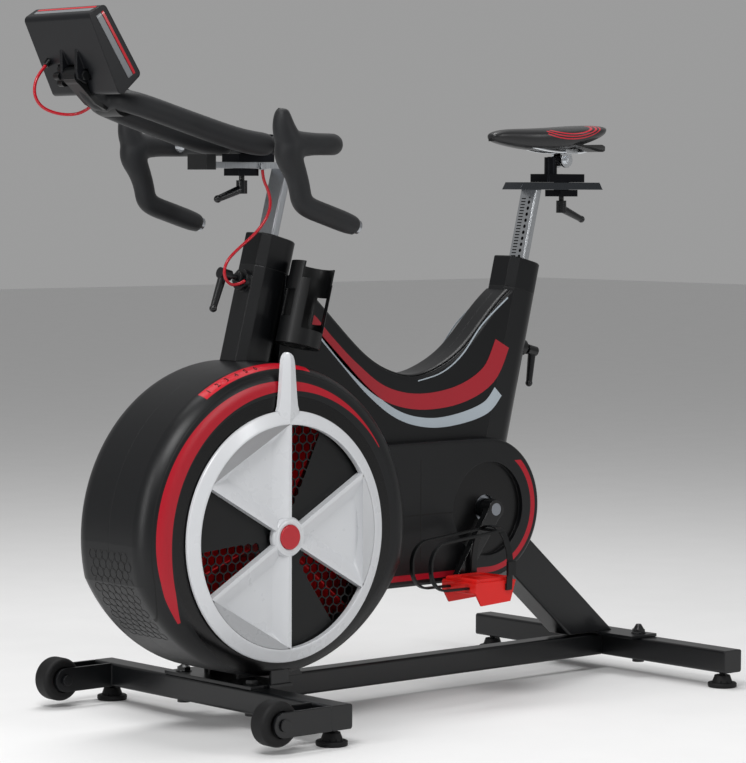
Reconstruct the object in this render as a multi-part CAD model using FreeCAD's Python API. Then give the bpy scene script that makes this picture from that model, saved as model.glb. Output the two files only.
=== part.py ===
import FreeCAD, Part
import math
import os

# Indoor training bike: a welded steel frame on two cross stabilisers, a fan resistance unit in front,
# a chain drive from the crank to the fan, and adjustable posts for the handlebar and the saddle.
# Millimetres. The working frame has +X forward, +Y to the rider's left and +Z up, with X = 0 on the
# crank axis and Z = 0 on the floor. The last section moves every piece so that the origin lies under
# the middle of the whole machine.

os.makedirs("parts", exist_ok=True)
Vec = FreeCAD.Vector

# ---------------------------------------------------------------- driving dimensions
# clearances
running_fit = 0.05          # radial, shafts in their bores
sliding_gap = 0.4           # between a post and its collar, and between sliding faces
cover_gap = 0.3             # between a moulded cover and the steel beside it
rotor_gap = 1.0             # between turning and fixed pieces

# base
floor_gap = 30.0            # underside of the stabilisers above the floor
tube_tall = 44.0            # height of the stabilisers and of the main beam
stabiliser_deep = 47.0
beam_wide = 40.0
tube_wall = 2.5
tube_corner = 5.0
front_stabiliser_long = 690.0
rear_stabiliser_long = 700.0
front_stabiliser_x = 612.5
rear_stabiliser_x = -380.0
end_plug = 3.0              # thickness of the plug seen at each tube end
flange_thick = 6.0
flange_wide = 250.0
flange_bolt_y = 98.0
bolt_r = 8.0

# levelling feet
foot_r = 28.0
foot_pad = 9.0
foot_inset = 27.0           # foot centre from the end of the stabiliser
foot_stud_r = 6.0

# transport wheels
wheel_r = 40.0
wheel_wide = 40.0
wheel_reach = 127.5         # wheel centre ahead of the front stabiliser's centre
fork_plate = 6.0
fork_side_gap = 3.0
wheel_axle_r = 6.0

# crank and pedals
crank_z = 351.0
crank_long = 165.0
crank_lean = 35.3           # degrees, left crank forward of straight down
axle_r = 12.0
crank_thick = 14.0
crank_inner_y = 70.0
chainring_teeth = 52
sprocket_teeth = 14
chain_pitch = 12.7
chain_y = 43.0
chain_wide = 6.0
chain_thick = 8.0
pedal_long = 94.0
pedal_wide = 92.0
spindle_r = 7.0

# fan unit
fan_x = 573.6
fan_z = 345.0
housing_r = 306.0
housing_left_y = 143.0
housing_right_y = -76.0
housing_split_y = 34.0
housing_shoulder = 42.0
housing_wall = 3.0
housing_base_r = 334.0      # the flatter curve under the housing
housing_base_z = 426.0      # centre height of that curve
fan_tip_gap = 6.0           # fan blades to the housing's flat base
fan_blades = 18
fan_axle_r = 8.0
fan_bearing_r = 14.0
fan_hub_r = 20.0
vent_rim = 78.0             # from the housing's outside to the edge of each vent disc
vent_thick = 3.0
hex_pitch = 18.0
hex_web = 2.4
air_disc_rim = 82.0         # from the housing's outside to the edge of the air disc
air_ring_wide = 25.0
air_disc_thick = 10.0
air_disc_gap = 3.0
air_lever_over = 21.0       # the lever's tip beyond the housing's outside

# tilted tubes of the frame
head_tilt = 15.0
head_top = (485.0, 870.0)   # centre of the head tube's upper end, X and Z
seat_tilt = 14.0
seat_top = (-134.0, 822.0)
mast_wide = 72.0
mast_deep = 88.0
mast_wall = 3.0
collar_tall = 60.0
seat_mast_long = 470.0
head_mast_long = 260.0
strut_angle = 40.7          # degrees from the floor
strut_deep = 80.0
strut_wide = 60.0

# posts
post_wide = 42.0
post_deep = 16.0
post_wall = 3.0
bar_post_offset = 11.0      # post ahead of the head tube's centre line
bar_post_out = 130.0
bar_post_in = 140.0
seat_post_out = 142.0
seat_post_in = 280.0

# covers
cover_half = 36.0
cover_wall = 3.0
case_half = 62.0
case_r = 135.0
case_dish_r = 90.0

# handlebar
bar_rail_z = 995.0
bar_x = 520.0
bar_z = 1036.0
bar_half = 222.0
bar_core_r = 12.7
bar_foam_r = 19.0
aero_half = 60.0
aero_r = 21.0

# monitor
monitor_pivot = (920.0, 1150.0)
monitor_half = 95.0

# saddle
saddle_x = -250.0           # centre of the slider's stem
seat_rail_z = 959.0
saddle_pivot_z = 1026.0
saddle_half = 70.0

# cables
cable_r = 2.8
plug_r = 6.0
plug_at = (914.0, -70.0, 1188.0)
plug_dir = (0.72, 0.0, -0.694)


# ---------------------------------------------------------------- shape helpers
def block(x, y, z):
    """A box between pairs of limits."""
    return Part.makeBox(x[1] - x[0], y[1] - y[0], z[1] - z[0], Vec(x[0], y[0], z[0]))


def rod(start, direction, radius, length):
    return Part.makeCylinder(radius, length, Vec(*start), Vec(*direction))


def rod_y(x, z, radius, y_low, y_high):
    """A round bar across the machine."""
    return Part.makeCylinder(radius, y_high - y_low, Vec(x, y_low, z), Vec(0, 1, 0))


def outline_xz(points, y=0.0):
    corners = [Vec(x, y, z) for x, z in points]
    return Part.makePolygon(corners + corners[:1])


def plate_xz(points, y_low, y_high):
    """A flat plate standing lengthwise, from its corners in X and Z."""
    return Part.Face(outline_xz(points, y_low)).extrude(Vec(0, y_high - y_low, 0))


def thicken_y(wire, y_low, y_high):
    """A closed outline drawn at Y = 0, given a thickness across the machine."""
    slab = Part.Face(wire).extrude(Vec(0, y_high - y_low, 0))
    slab.translate(Vec(0, y_low, 0))
    return slab


def fused(shapes):
    """One solid from pieces that are welded or moulded together."""
    whole = shapes[0].multiFuse(shapes[1:]) if len(shapes) > 1 else shapes[0]
    return whole.removeSplitter()


def group(shapes):
    return Part.makeCompound(shapes)


def mirrored(shape):
    """The same piece on the other side of the machine."""
    return shape.mirror(Vec(0, 0, 0), Vec(0, 1, 0))


def long_edges(shape, direction):
    """The straight edges that run along one direction."""
    found = []
    for edge in shape.Edges:
        if edge.Curve.TypeId == "Part::GeomLine":
            if abs(edge.tangentAt(edge.FirstParameter).dot(Vec(*direction))) > 0.999:
                found.append(edge)
    return found


def rounded(shape, radius, direction):
    return shape.makeFillet(radius, long_edges(shape, direction))


def box_tube(x, y, z, along, wall):
    """A rectangular tube with rounded corners and open ends."""
    outer = rounded(block(x, y, z), tube_corner, along)
    limits = []
    for pair, step in zip((x, y, z), along):
        limits.append((pair[0] - 1, pair[1] + 1) if step else (pair[0] + wall, pair[1] - wall))
    return outer.cut(block(*limits))


def route(points):
    """Straight runs joined by tangent arcs, each arc as large as its two runs allow."""
    corners = [Vec(*p) for p in points]
    edges = []
    radii = []
    start = corners[0]
    for before, corner, after in zip(corners, corners[1:], corners[2:]):
        back = before - corner
        ahead = after - corner
        setback = 0.45 * min(back.Length, ahead.Length)
        half_turn = (math.pi - back.getAngle(ahead)) / 2
        radius = setback / math.tan(half_turn)
        back.normalize()
        ahead.normalize()
        middle = back + ahead
        middle.normalize()
        middle = corner + middle * (radius / math.cos(half_turn) - radius)
        arc_start = corner + back * setback
        arc_end = corner + ahead * setback
        edges.append(Part.LineSegment(start, arc_start).toShape())
        edges.append(Part.Arc(arc_start, middle, arc_end).toShape())
        radii.append(radius)
        start = arc_end
    edges.append(Part.LineSegment(start, corners[-1]).toShape())
    return Part.Wire(edges), radii


def tube_along(points, radius):
    """A round bar or cable that follows a route."""
    path, _ = route(points)
    first = Vec(*points[1]) - Vec(*points[0])
    ring = Part.Wire([Part.makeCircle(radius, Vec(*points[0]), first)])
    return path.makePipeShell([ring], True, False)


def ribbon_along(points, across, thickness, width):
    """A flat strip that follows a flat route; across is the direction of its width."""
    path, _ = route(points)
    first = Vec(*points[1]) - Vec(*points[0])
    first.normalize()
    side = Vec(*across)
    up = side.cross(first)
    centre = Vec(*points[0])
    corners = []
    for a, b in ((-1, -1), (1, -1), (1, 1), (-1, 1), (-1, -1)):
        corners.append(centre + side * (a * width / 2) + up * (b * thickness / 2))
    return path.makePipeShell([Part.makePolygon(corners)], True, False)


def report_cable(name, points, radius):
    path, radii = route(points)
    solid = tube_along(points, radius)
    wanted = math.pi * radius ** 2 * path.Length
    print(name, "length", round(path.Length, 1), "volume ratio", round(solid.Volume / wanted, 4),
          "radii", [round(r, 1) for r in radii])


def tilt_to(shape, top, tilt):
    """Place a piece drawn along +Z with its upper end at the origin onto a tilted tube."""
    placed = shape.copy()
    placed.rotate(Vec(0, 0, 0), Vec(0, 1, 0), -tilt)
    placed.translate(Vec(top[0], 0, top[1]))
    return placed


def tilted_point(top, tilt, ahead, up, y=0.0):
    """A point given ahead of and up along a tilted tube."""
    angle = math.radians(tilt)
    x = top[0] + ahead * math.cos(angle) - up * math.sin(angle)
    z = top[1] + ahead * math.sin(angle) + up * math.cos(angle)
    return (x, y, z)


def tilted_direction(tilt, ahead, up):
    angle = math.radians(tilt)
    return (ahead * math.cos(angle) - up * math.sin(angle), 0.0,
            ahead * math.sin(angle) + up * math.cos(angle))


# ---------------------------------------------------------------- base
beam_low = floor_gap
beam_high = floor_gap + tube_tall
beam_mid = floor_gap + tube_tall / 2
flange_top = beam_high + flange_thick


def stabiliser(x, length):
    """A cross tube with a plug pressed into each end."""
    half = length / 2
    tube = box_tube((x - stabiliser_deep / 2, x + stabiliser_deep / 2), (end_plug - half, half - end_plug),
                    (beam_low, beam_high), (0, 1, 0), tube_wall)
    for side in (-1, 1):
        foot_y = side * (half - foot_inset)
        tube = tube.cut(rod((x, foot_y, beam_low - 1), (0, 0, 1), foot_stud_r + running_fit, tube_wall + 2))
        bolt_y = side * flange_bolt_y
        tube = tube.cut(rod((x, bolt_y, beam_low - 1), (0, 0, 1), bolt_r + 0.2, tube_tall + 2))
    return tube


def end_plugs(x, length):
    half = length / 2
    plugs = []
    for side in (-1, 1):
        face = (half - end_plug, half) if side > 0 else (-half, end_plug - half)
        cap = rounded(block((x - stabiliser_deep / 2, x + stabiliser_deep / 2), face, (beam_low, beam_high)),
                      tube_corner, (0, 1, 0))
        spigot_y = sorted((side * (half - end_plug), side * (half - end_plug - 12)))
        inset = tube_wall + cover_gap
        spigot = block((x - stabiliser_deep / 2 + inset, x + stabiliser_deep / 2 - inset), spigot_y,
                       (beam_low + inset, beam_high - inset))
        plugs.append(fused([cap, spigot]))
    return plugs


def wheel_fork(side):
    """Two plates welded to the front stabiliser's face, with rounded ends around the axle."""
    face_x = front_stabiliser_x + stabiliser_deep / 2
    centre_x = front_stabiliser_x + wheel_reach
    centre_y = side * wheel_centre_y
    plates = []
    for edge in (-1, 1):
        inner = centre_y + edge * (wheel_wide / 2 + fork_side_gap)
        outer = inner + edge * fork_plate
        low, high = sorted((inner, outer))
        arm = block((face_x, centre_x), (low, high), (beam_low, beam_high))
        nose = rod_y(centre_x, beam_mid, tube_tall / 2, low, high)
        plates.append(fused([arm, nose]).cut(rod_y(centre_x, beam_mid, wheel_axle_r, low - 1, high + 1)))
    return plates


wheel_centre_y = front_stabiliser_long / 2 - wheel_wide / 2 - fork_side_gap - fork_plate
front_parts = [stabiliser(front_stabiliser_x, front_stabiliser_long)]
front_parts += end_plugs(front_stabiliser_x, front_stabiliser_long)
front_parts += wheel_fork(-1) + wheel_fork(1)
front_stabiliser = group(front_parts)
rear_stabiliser = group([stabiliser(rear_stabiliser_x, rear_stabiliser_long)]
                        + end_plugs(rear_stabiliser_x, rear_stabiliser_long))


def transport_wheel(side):
    """A solid roller with a rounded tread and a bore that turns on its bolt."""
    x = front_stabiliser_x + wheel_reach
    y = side * wheel_centre_y
    body = rod_y(x, beam_mid, wheel_r, y - wheel_wide / 2, y + wheel_wide / 2)
    body = body.makeFillet(9.0, [e for e in body.Edges if e.Curve.TypeId == "Part::GeomCircle"])
    recess = rod_y(x, beam_mid, 24.0, y - wheel_wide / 2 - 1, y - wheel_wide / 2 + 5)
    recess2 = rod_y(x, beam_mid, 24.0, y + wheel_wide / 2 - 5, y + wheel_wide / 2 + 1)
    boss = rod_y(x, beam_mid, 12.0, y - wheel_wide / 2, y + wheel_wide / 2)
    bore = rod_y(x, beam_mid, wheel_axle_r + running_fit, y - wheel_wide, y + wheel_wide)
    return fused([body.cut(recess).cut(recess2), boss]).cut(bore)


def levelling_foot(x, y):
    """A threaded stud with a ribbed hand wheel and a flat pad, in one moulding."""
    pad = rod((x, y, 0), (0, 0, 1), foot_r, foot_pad)
    pad = pad.makeFillet(2.5, [e for e in pad.Edges if e.Curve.TypeId == "Part::GeomCircle"])
    hub = Part.makeCone(20.0, 15.0, 14.0, Vec(x, y, foot_pad), Vec(0, 0, 1))
    stud = rod((x, y, foot_pad + 14.0), (0, 0, 1), foot_stud_r, beam_high - tube_wall - 10.0 - foot_pad - 14.0)
    foot = fused([pad, hub, stud])
    for turn in range(10):
        angle = math.radians(36 * turn)
        notch = rod((x + 20.5 * math.cos(angle), y + 20.5 * math.sin(angle), foot_pad), (0, 0, 1), 2.5, 15.0)
        foot = foot.cut(notch)
    return foot


def joint_bolt(x, y, dome_tall):
    """Hexagon head below, shank through tube and flange, capped nut on top."""
    head = rod((x, y, beam_low - 7.0), (0, 0, 1), 12.0, 7.0)
    shank = rod((x, y, beam_low), (0, 0, 1), bolt_r, tube_tall + flange_thick)
    washer = rod((x, y, flange_top), (0, 0, 1), 15.0, 1.5)
    nut = hexagon_prism((x, y, flange_top + 1.5), 13.0, 6.5)
    dome = Part.makeCone(11.0, 5.0, dome_tall, Vec(x, y, flange_top + 8.0), Vec(0, 0, 1))
    return fused([head, shank, washer, nut, dome])


def hexagon_prism(base, radius, height, axis=(0, 0, 1)):
    corners = []
    for turn in range(7):
        angle = math.radians(60 * turn)
        corners.append(Vec(radius * math.cos(angle), radius * math.sin(angle), 0))
    prism = Part.Face(Part.makePolygon(corners)).extrude(Vec(0, 0, height))
    prism.Placement = FreeCAD.Placement(Vec(*base), FreeCAD.Rotation(Vec(0, 0, 1), Vec(*axis)))
    return prism


def wheel_bolt(side):
    """The axle of a transport wheel: a button head outside and a nut inside."""
    x = front_stabiliser_x + wheel_reach
    y = side * wheel_centre_y
    reach = wheel_wide / 2 + fork_side_gap + fork_plate
    low, high = y - reach, y + reach
    shank = rod_y(x, beam_mid, wheel_axle_r, low, high)
    outer_y = sorted((y + side * reach, y + side * (reach + 4)))
    inner_y = sorted((y - side * reach, y - side * (reach + 6)))
    return fused([shank, rod_y(x, beam_mid, 11.0, *outer_y), rod_y(x, beam_mid, 10.0, *inner_y)])


# ---------------------------------------------------------------- fan housing envelope
def housing_drum(centre_z, outer_r, skin):
    """A drum with rounded shoulders on the fan's axis, or on the axis of the flatter base curve."""
    shoulder = housing_shoulder - skin
    left_c = housing_left_y - housing_shoulder
    right_c = housing_right_y + housing_shoulder
    rim = outer_r - skin
    centre_r = outer_r - housing_shoulder
    diag = shoulder * math.sqrt(0.5)
    edges = [
        Part.LineSegment(Vec(0, right_c - shoulder, 0), Vec(centre_r, right_c - shoulder, 0)).toShape(),
        Part.Arc(Vec(centre_r, right_c - shoulder, 0), Vec(centre_r + diag, right_c - diag, 0),
                 Vec(rim, right_c, 0)).toShape(),
        Part.LineSegment(Vec(rim, right_c, 0), Vec(rim, left_c, 0)).toShape(),
        Part.Arc(Vec(rim, left_c, 0), Vec(centre_r + diag, left_c + diag, 0),
                 Vec(centre_r, left_c + shoulder, 0)).toShape(),
        Part.LineSegment(Vec(centre_r, left_c + shoulder, 0), Vec(0, left_c + shoulder, 0)).toShape(),
        Part.LineSegment(Vec(0, left_c + shoulder, 0), Vec(0, right_c - shoulder, 0)).toShape(),
    ]
    drum = Part.Face(Part.Wire(edges)).revolve(Vec(0, 0, 0), Vec(0, 1, 0), 360)
    drum.translate(Vec(fan_x, 0, centre_z))
    return drum


def housing_body(skin):
    """The housing's outside, or its inside when skin is the wall thickness."""
    return housing_drum(fan_z, housing_r, skin).common(housing_drum(housing_base_z, housing_base_r, skin))


vent_r = housing_r - vent_rim
air_disc_r = housing_r - air_disc_rim
air_lever_reach = housing_r + air_lever_over
housing_outer = housing_body(0.0)
housing_clear = rod_y(fan_x, fan_z, housing_r + cover_gap, housing_right_y - 60, housing_left_y)
housing_floor_z = housing_base_z - housing_base_r


# ---------------------------------------------------------------- main beam with its bracket and fan stays
stay_half = 20.0
stay_thick = 6.0
left_stay_y = 124.0
right_stay_y = -62.0
front_flange_x = (front_stabiliser_x - stabiliser_deep / 2 - 25, front_stabiliser_x + stabiliser_deep / 2)
rear_flange_x = (rear_stabiliser_x - stabiliser_deep / 2, rear_stabiliser_x + stabiliser_deep / 2 + 25)


def fan_stay(y_low):
    """An upright plate that holds one end of the fan's axle."""
    low, high = y_low, y_low + stay_thick
    plate = block((fan_x - stay_half, fan_x + stay_half), (low, high), (flange_top, fan_z))
    plate = fused([plate, rod_y(fan_x, fan_z, stay_half, low, high)])
    return plate.cut(rod_y(fan_x, fan_z, fan_axle_r, low - 1, high + 1))


def base_beam_piece():
    """Main beam, the two flanges that bolt onto the stabilisers, the bracket and the two fan stays."""
    x_low = rear_stabiliser_x + stabiliser_deep / 2
    x_high = front_stabiliser_x - stabiliser_deep / 2
    beam = box_tube((x_low, x_high), (-beam_wide / 2, beam_wide / 2), (beam_low, beam_high), (1, 0, 0), tube_wall)
    parts = [beam]
    for limits, centre in ((front_flange_x, front_stabiliser_x), (rear_flange_x, rear_stabiliser_x)):
        flange = block(limits, (-flange_wide / 2, flange_wide / 2), (beam_high, flange_top))
        for side in (-1, 1):
            hole = rod((centre, side * flange_bolt_y, beam_high - 1), (0, 0, 1), bolt_r + 0.2, flange_thick + 2)
            flange = flange.cut(hole)
        parts.append(flange)
    # the bracket under the housing: a shelf that carries both stays, and two cheeks up to the housing
    shelf_y = (right_stay_y - 4, left_stay_y + stay_thick + 4)
    shelf = block((fan_x - stay_half - 6, fan_x + stay_half + 6), shelf_y, (beam_high, flange_top))
    parts.append(shelf)
    for y_low in (-44.0, 38.0):
        cheek = plate_xz([(450, beam_high), (600, beam_high), (600, 90), (575, 130), (480, 130)], y_low, y_low + 6)
        parts.append(cheek.cut(rod_y(fan_x, housing_base_z, housing_base_r + cover_gap, y_low - 1, y_low + 7)))
    parts += [block((450, 480), (-44, 44), (beam_high, flange_top))]
    parts += [fan_stay(left_stay_y), fan_stay(right_stay_y)]
    return fused(parts)


base_beam = base_beam_piece()
frame_bolts = [joint_bolt(x, side * flange_bolt_y, dome_tall)
               for x, dome_tall in ((front_stabiliser_x, 4.0), (rear_stabiliser_x, 10.0)) for side in (-1, 1)]
frame_bolts += [wheel_bolt(-1), wheel_bolt(1)]


# ---------------------------------------------------------------- tilted tubes
def mast_section(inset):
    """Flat front with two bevels, straight sides and a round back; ahead is +X."""
    half = mast_wide / 2 - inset
    front = mast_deep / 2 - inset
    flat = 22.0 - inset * 0.5
    bevel = front - 14.0
    back = -(mast_deep / 2 - mast_wide / 2)
    edges = [
        Part.LineSegment(Vec(front, -flat, 0), Vec(front, flat, 0)).toShape(),
        Part.LineSegment(Vec(front, flat, 0), Vec(bevel, half, 0)).toShape(),
        Part.LineSegment(Vec(bevel, half, 0), Vec(back, half, 0)).toShape(),
        Part.Arc(Vec(back, half, 0), Vec(back - half, 0, 0), Vec(back, -half, 0)).toShape(),
        Part.LineSegment(Vec(back, -half, 0), Vec(bevel, -half, 0)).toShape(),
        Part.LineSegment(Vec(bevel, -half, 0), Vec(front, -flat, 0)).toShape(),
    ]
    return Part.Face(Part.Wire(edges))


def mast_bar(inset, low, high):
    bar = mast_section(inset).extrude(Vec(0, 0, high - low))
    bar.translate(Vec(0, 0, low))
    return bar


def post_bar(ahead, inset, low, high):
    """The post's section: a flat bar with rounded corners."""
    bar = block((ahead - post_deep / 2 + inset, ahead + post_deep / 2 - inset),
                (-post_wide / 2 + inset, post_wide / 2 - inset), (low, high))
    return rounded(bar, max(3.0 - inset, 0.8), (0, 0, 1))


def collar(ahead):
    """The moulded top of a mast: the visible cap and a bush inside the tube, with the post's slot."""
    cap = mast_bar(0.0, -collar_tall, 0.0)
    cap = cap.makeChamfer(2.0, [e for e in cap.Edges if abs(e.CenterOfMass.z) < 0.01])
    bush = mast_bar(mast_wall + cover_gap, -collar_tall - 60.0, -collar_tall)
    slot = post_bar(ahead, -sliding_gap, -collar_tall - 70.0, 5.0)
    return fused([cap, bush]).cut(slot)


strut_dir = (-math.cos(math.radians(strut_angle)), 0.0, -math.sin(math.radians(strut_angle)))
bottom_bracket_r = 24.0


def strut_solid(extra, wall):
    """The rear strut from the crank axis down to the rear flange, drawn along +X and turned into place."""
    half = strut_deep / 2 + extra - wall
    side = strut_wide / 2 + extra - wall
    bar = block((0, 560), (-side, side), (-half, half))
    bar = rounded(bar, max(tube_corner - wall, 1.5), (1, 0, 0))
    bar.rotate(Vec(0, 0, 0), Vec(0, 1, 0), 180 - strut_angle)
    bar.translate(Vec(0, 0, crank_z))
    return bar


below_flange = block((-700, 100), (-100, 100), (-200, flange_top))
strut_outer = strut_solid(0.0, 0.0).cut(below_flange)
bracket_clear = rod_y(0, crank_z, bottom_bracket_r + cover_gap, -80, 80)
rear_strut = strut_outer.cut(strut_solid(0.0, tube_wall)).cut(bracket_clear)
# only the length behind the crank axis is kept
rear_strut = rear_strut.cut(block((-6, 200), (-100, 100), (0, 600)))

seat_outer = tilt_to(mast_bar(0.0, -seat_mast_long, 0.0), seat_top, seat_tilt)
seat_bore = tilt_to(mast_bar(mast_wall, -seat_mast_long - 5, 5.0), seat_top, seat_tilt)
head_outer = tilt_to(mast_bar(0.0, -head_mast_long, 0.0), head_top, head_tilt)
head_bore = tilt_to(mast_bar(mast_wall, -head_mast_long - 5, 5.0), head_top, head_tilt)
seat_collar_room = tilt_to(mast_bar(-2.0, -collar_tall, 10.0), seat_top, seat_tilt)
head_collar_room = tilt_to(mast_bar(-2.0, -collar_tall, 10.0), head_top, head_tilt)

seat_tube = seat_outer.cut(seat_bore).cut(seat_collar_room).cut(strut_solid(cover_gap, 0.0)).cut(bracket_clear)
head_tube = head_outer.cut(head_bore).cut(head_collar_room).cut(housing_clear)
tube_collars = group([tilt_to(collar(bar_post_offset), head_top, head_tilt),
                      tilt_to(collar(0.0), seat_top, seat_tilt)])

# clamp bosses: where the two height levers go through the wall of their mast
bar_lever_up = -90.0
seat_lever_up = -162.0
stud_r = 5.0
head_face = tilted_point(head_top, head_tilt, mast_deep / 2, bar_lever_up)
head_out = tilted_direction(head_tilt, 1, 0)
seat_face = tilted_point(seat_top, seat_tilt, -mast_deep / 2, seat_lever_up)
seat_out = tilted_direction(seat_tilt, -1, 0)
boss_tall = 10.0


def with_boss(tube, face, outward, radius):
    boss = rod(tuple(face[i] - outward[i] * mast_wall for i in range(3)), outward, radius, boss_tall + mast_wall)
    inside = tuple(face[i] - outward[i] * 8 for i in range(3))
    bore = rod(inside, outward, stud_r + running_fit, 30)
    return fused([tube, boss]).cut(bore)


head_tube = with_boss(head_tube, head_face, head_out, 20.0)
seat_tube = with_boss(seat_tube, seat_face, seat_out, 16.0)


# ---------------------------------------------------------------- bottom bracket
def bearing(x, z, inner_r, outer_r, y_low, y_high):
    return rod_y(x, z, outer_r, y_low, y_high).cut(rod_y(x, z, inner_r, y_low - 1, y_high + 1))


bb_half = cover_half - cover_gap
bb_shell = bearing(0, crank_z, bottom_bracket_r - 4.0, bottom_bracket_r, -bb_half, bb_half)
bottom_bracket = group([bb_shell,
                        bearing(0, crank_z, axle_r + running_fit, bottom_bracket_r - 4.0, bb_half - 12, bb_half),
                        bearing(0, crank_z, axle_r + running_fit, bottom_bracket_r - 4.0, -bb_half, 12 - bb_half)])


# ---------------------------------------------------------------- frame covers and the web inside them
def frame_top_curve(inset):
    """The saddle-shaped upper edge of the frame between the two masts."""
    knots = [(457, 803), (400, 756), (330, 692), (267, 643), (218, 621), (165, 613), (110, 626),
             (50, 657), (-5, 706), (-76, 768)]
    curve = Part.BSplineCurve()
    curve.interpolate([Vec(x, 0, z) for x, z in knots])
    if inset == 0:
        return curve.toShape()
    moved = []
    steps = 24
    for step in range(steps + 1):
        at = curve.FirstParameter + (curve.LastParameter - curve.FirstParameter) * step / steps
        along = curve.tangent(at)[0]
        moved.append(curve.value(at) + Vec(along.z, 0, -along.x) * (inset if along.x > 0 else -inset))
    inner = Part.BSplineCurve()
    inner.interpolate(moved)
    return inner.toShape()


cover_low_z = 430.0


def frame_outline(inset, low_z):
    """The covers' outline; below the upper edge it runs inside the masts, the housing and the chain case."""
    top = frame_top_curve(inset)
    ends = sorted((v.Point for v in top.Vertexes), key=lambda point: point.x)
    rear, front = ends[0], ends[-1]
    corners = [rear, Vec(-106, 0, 758), Vec(-20, 0, low_z), Vec(330, 0, low_z), Vec(500, 0, 640),
               Vec(482, 0, 803 - inset), front]
    edges = [top]
    for a, b in zip(corners, corners[1:]):
        edges.append(Part.LineSegment(a, b).toShape())
    return Part.Wire(Part.__sortEdges__(edges))


frame_wire = frame_outline(0.0, cover_low_z)
frame_inner_wire = frame_outline(cover_wall, cover_low_z - 10.0)


def frame_cover(side):
    """A moulded half shell over the frame's web, open towards the middle."""
    outer = thicken_y(frame_wire, 0.0, cover_half)
    top_edge = [e for e in outer.Edges if e.BoundBox.YMin > cover_half - 0.1 and e.BoundBox.XLength > 400
                and e.BoundBox.ZMin > 600]
    outer = outer.makeFillet(12.0, top_edge)
    inner = thicken_y(frame_inner_wire, -1.0, cover_half - cover_wall)
    shell = outer.cut(inner).cut(housing_clear).cut(head_outer).cut(seat_outer).cut(strut_solid(cover_gap, 0.0))
    solid = max(shell.Solids, key=lambda s: s.Volume)
    return solid if side > 0 else mirrored(solid)


left_frame_cover = frame_cover(1)
right_frame_cover = frame_cover(-1)

web_half = 4.0
frame_spine = thicken_y(frame_outline(cover_wall + 4.0, cover_low_z), -web_half, web_half)
frame_spine = frame_spine.fuse(plate_xz([(10, 445), (10, 340), (290, 330), (300, 445)], -web_half, web_half))
for blocker in (housing_clear, head_outer, seat_outer, strut_solid(cover_gap, 0.0), bracket_clear):
    frame_spine = frame_spine.cut(blocker)
frame_spine = max(frame_spine.removeSplitter().Solids, key=lambda s: s.Volume)


# ---------------------------------------------------------------- chain drive
ring_pitch_r = chain_pitch / (2 * math.sin(math.pi / chainring_teeth))
sprocket_pitch_r = chain_pitch / (2 * math.sin(math.pi / sprocket_teeth))


def belt_face(rear_r, front_r):
    """The outline of a loop laid tightly round two discs on the crank and fan axes."""
    rear = Vec(0, 0, crank_z)
    front = Vec(fan_x, 0, fan_z)
    line = front - rear
    lean = math.atan2(line.z, line.x)
    spread = math.acos((rear_r - front_r) / line.Length)

    def at(centre, radius, angle):
        return centre + Vec(radius * math.cos(angle), 0, radius * math.sin(angle))

    upper_rear, upper_front = at(rear, rear_r, lean + spread), at(front, front_r, lean + spread)
    lower_rear, lower_front = at(rear, rear_r, lean - spread), at(front, front_r, lean - spread)
    edges = [
        Part.LineSegment(upper_rear, upper_front).toShape(),
        Part.Arc(upper_front, at(front, front_r, lean), lower_front).toShape(),
        Part.LineSegment(lower_front, lower_rear).toShape(),
        Part.Arc(lower_rear, at(rear, rear_r, lean + math.pi), upper_rear).toShape(),
    ]
    return Part.Wire(edges)


def chain_loop():
    half = chain_thick / 2
    outer = thicken_y(belt_face(ring_pitch_r + half, sprocket_pitch_r + half),
                      chain_y - chain_wide / 2, chain_y + chain_wide / 2)
    inner = thicken_y(belt_face(ring_pitch_r - half, sprocket_pitch_r - half), 0, 2 * chain_y)
    return outer.cut(inner)


chain = chain_loop()
ring_r = ring_pitch_r - chain_thick / 2 - cover_gap
sprocket_r = sprocket_pitch_r - chain_thick / 2 - cover_gap


def chainring_piece():
    """A toothed ring on a five-armed spider; the windows leave the arms."""
    disc = rod_y(0, crank_z, ring_r, chain_y - 2, chain_y + 2)
    disc = disc.cut(rod_y(0, crank_z, axle_r, chain_y - 10, chain_y + 10))
    for arm in range(5):
        angle = math.radians(72 * arm + 36)
        disc = disc.cut(rod_y(58 * math.cos(angle), crank_z + 58 * math.sin(angle), 24,
                              chain_y - 10, chain_y + 10))
    return disc


chainring = chainring_piece()

# ---------------------------------------------------------------- chain case
case_top_z = crank_z + case_r
case_bottom_z = crank_z - case_r


def case_wire(inset):
    """A round rear lobe that runs forward into the fan housing."""
    reach = fan_x - 240.0
    r = case_r - inset
    rear = Vec(0, 0, crank_z)
    edges = [
        Part.Arc(rear + Vec(0, 0, r), rear + Vec(-r, 0, 0), rear + Vec(0, 0, -r)).toShape(),
        Part.LineSegment(rear + Vec(0, 0, -r), Vec(reach, 0, crank_z - r)).toShape(),
        Part.LineSegment(Vec(reach, 0, crank_z - r), Vec(reach, 0, crank_z + r)).toShape(),
        Part.LineSegment(Vec(reach, 0, crank_z + r), rear + Vec(0, 0, r)).toShape(),
    ]
    return Part.Wire(edges)


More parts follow.
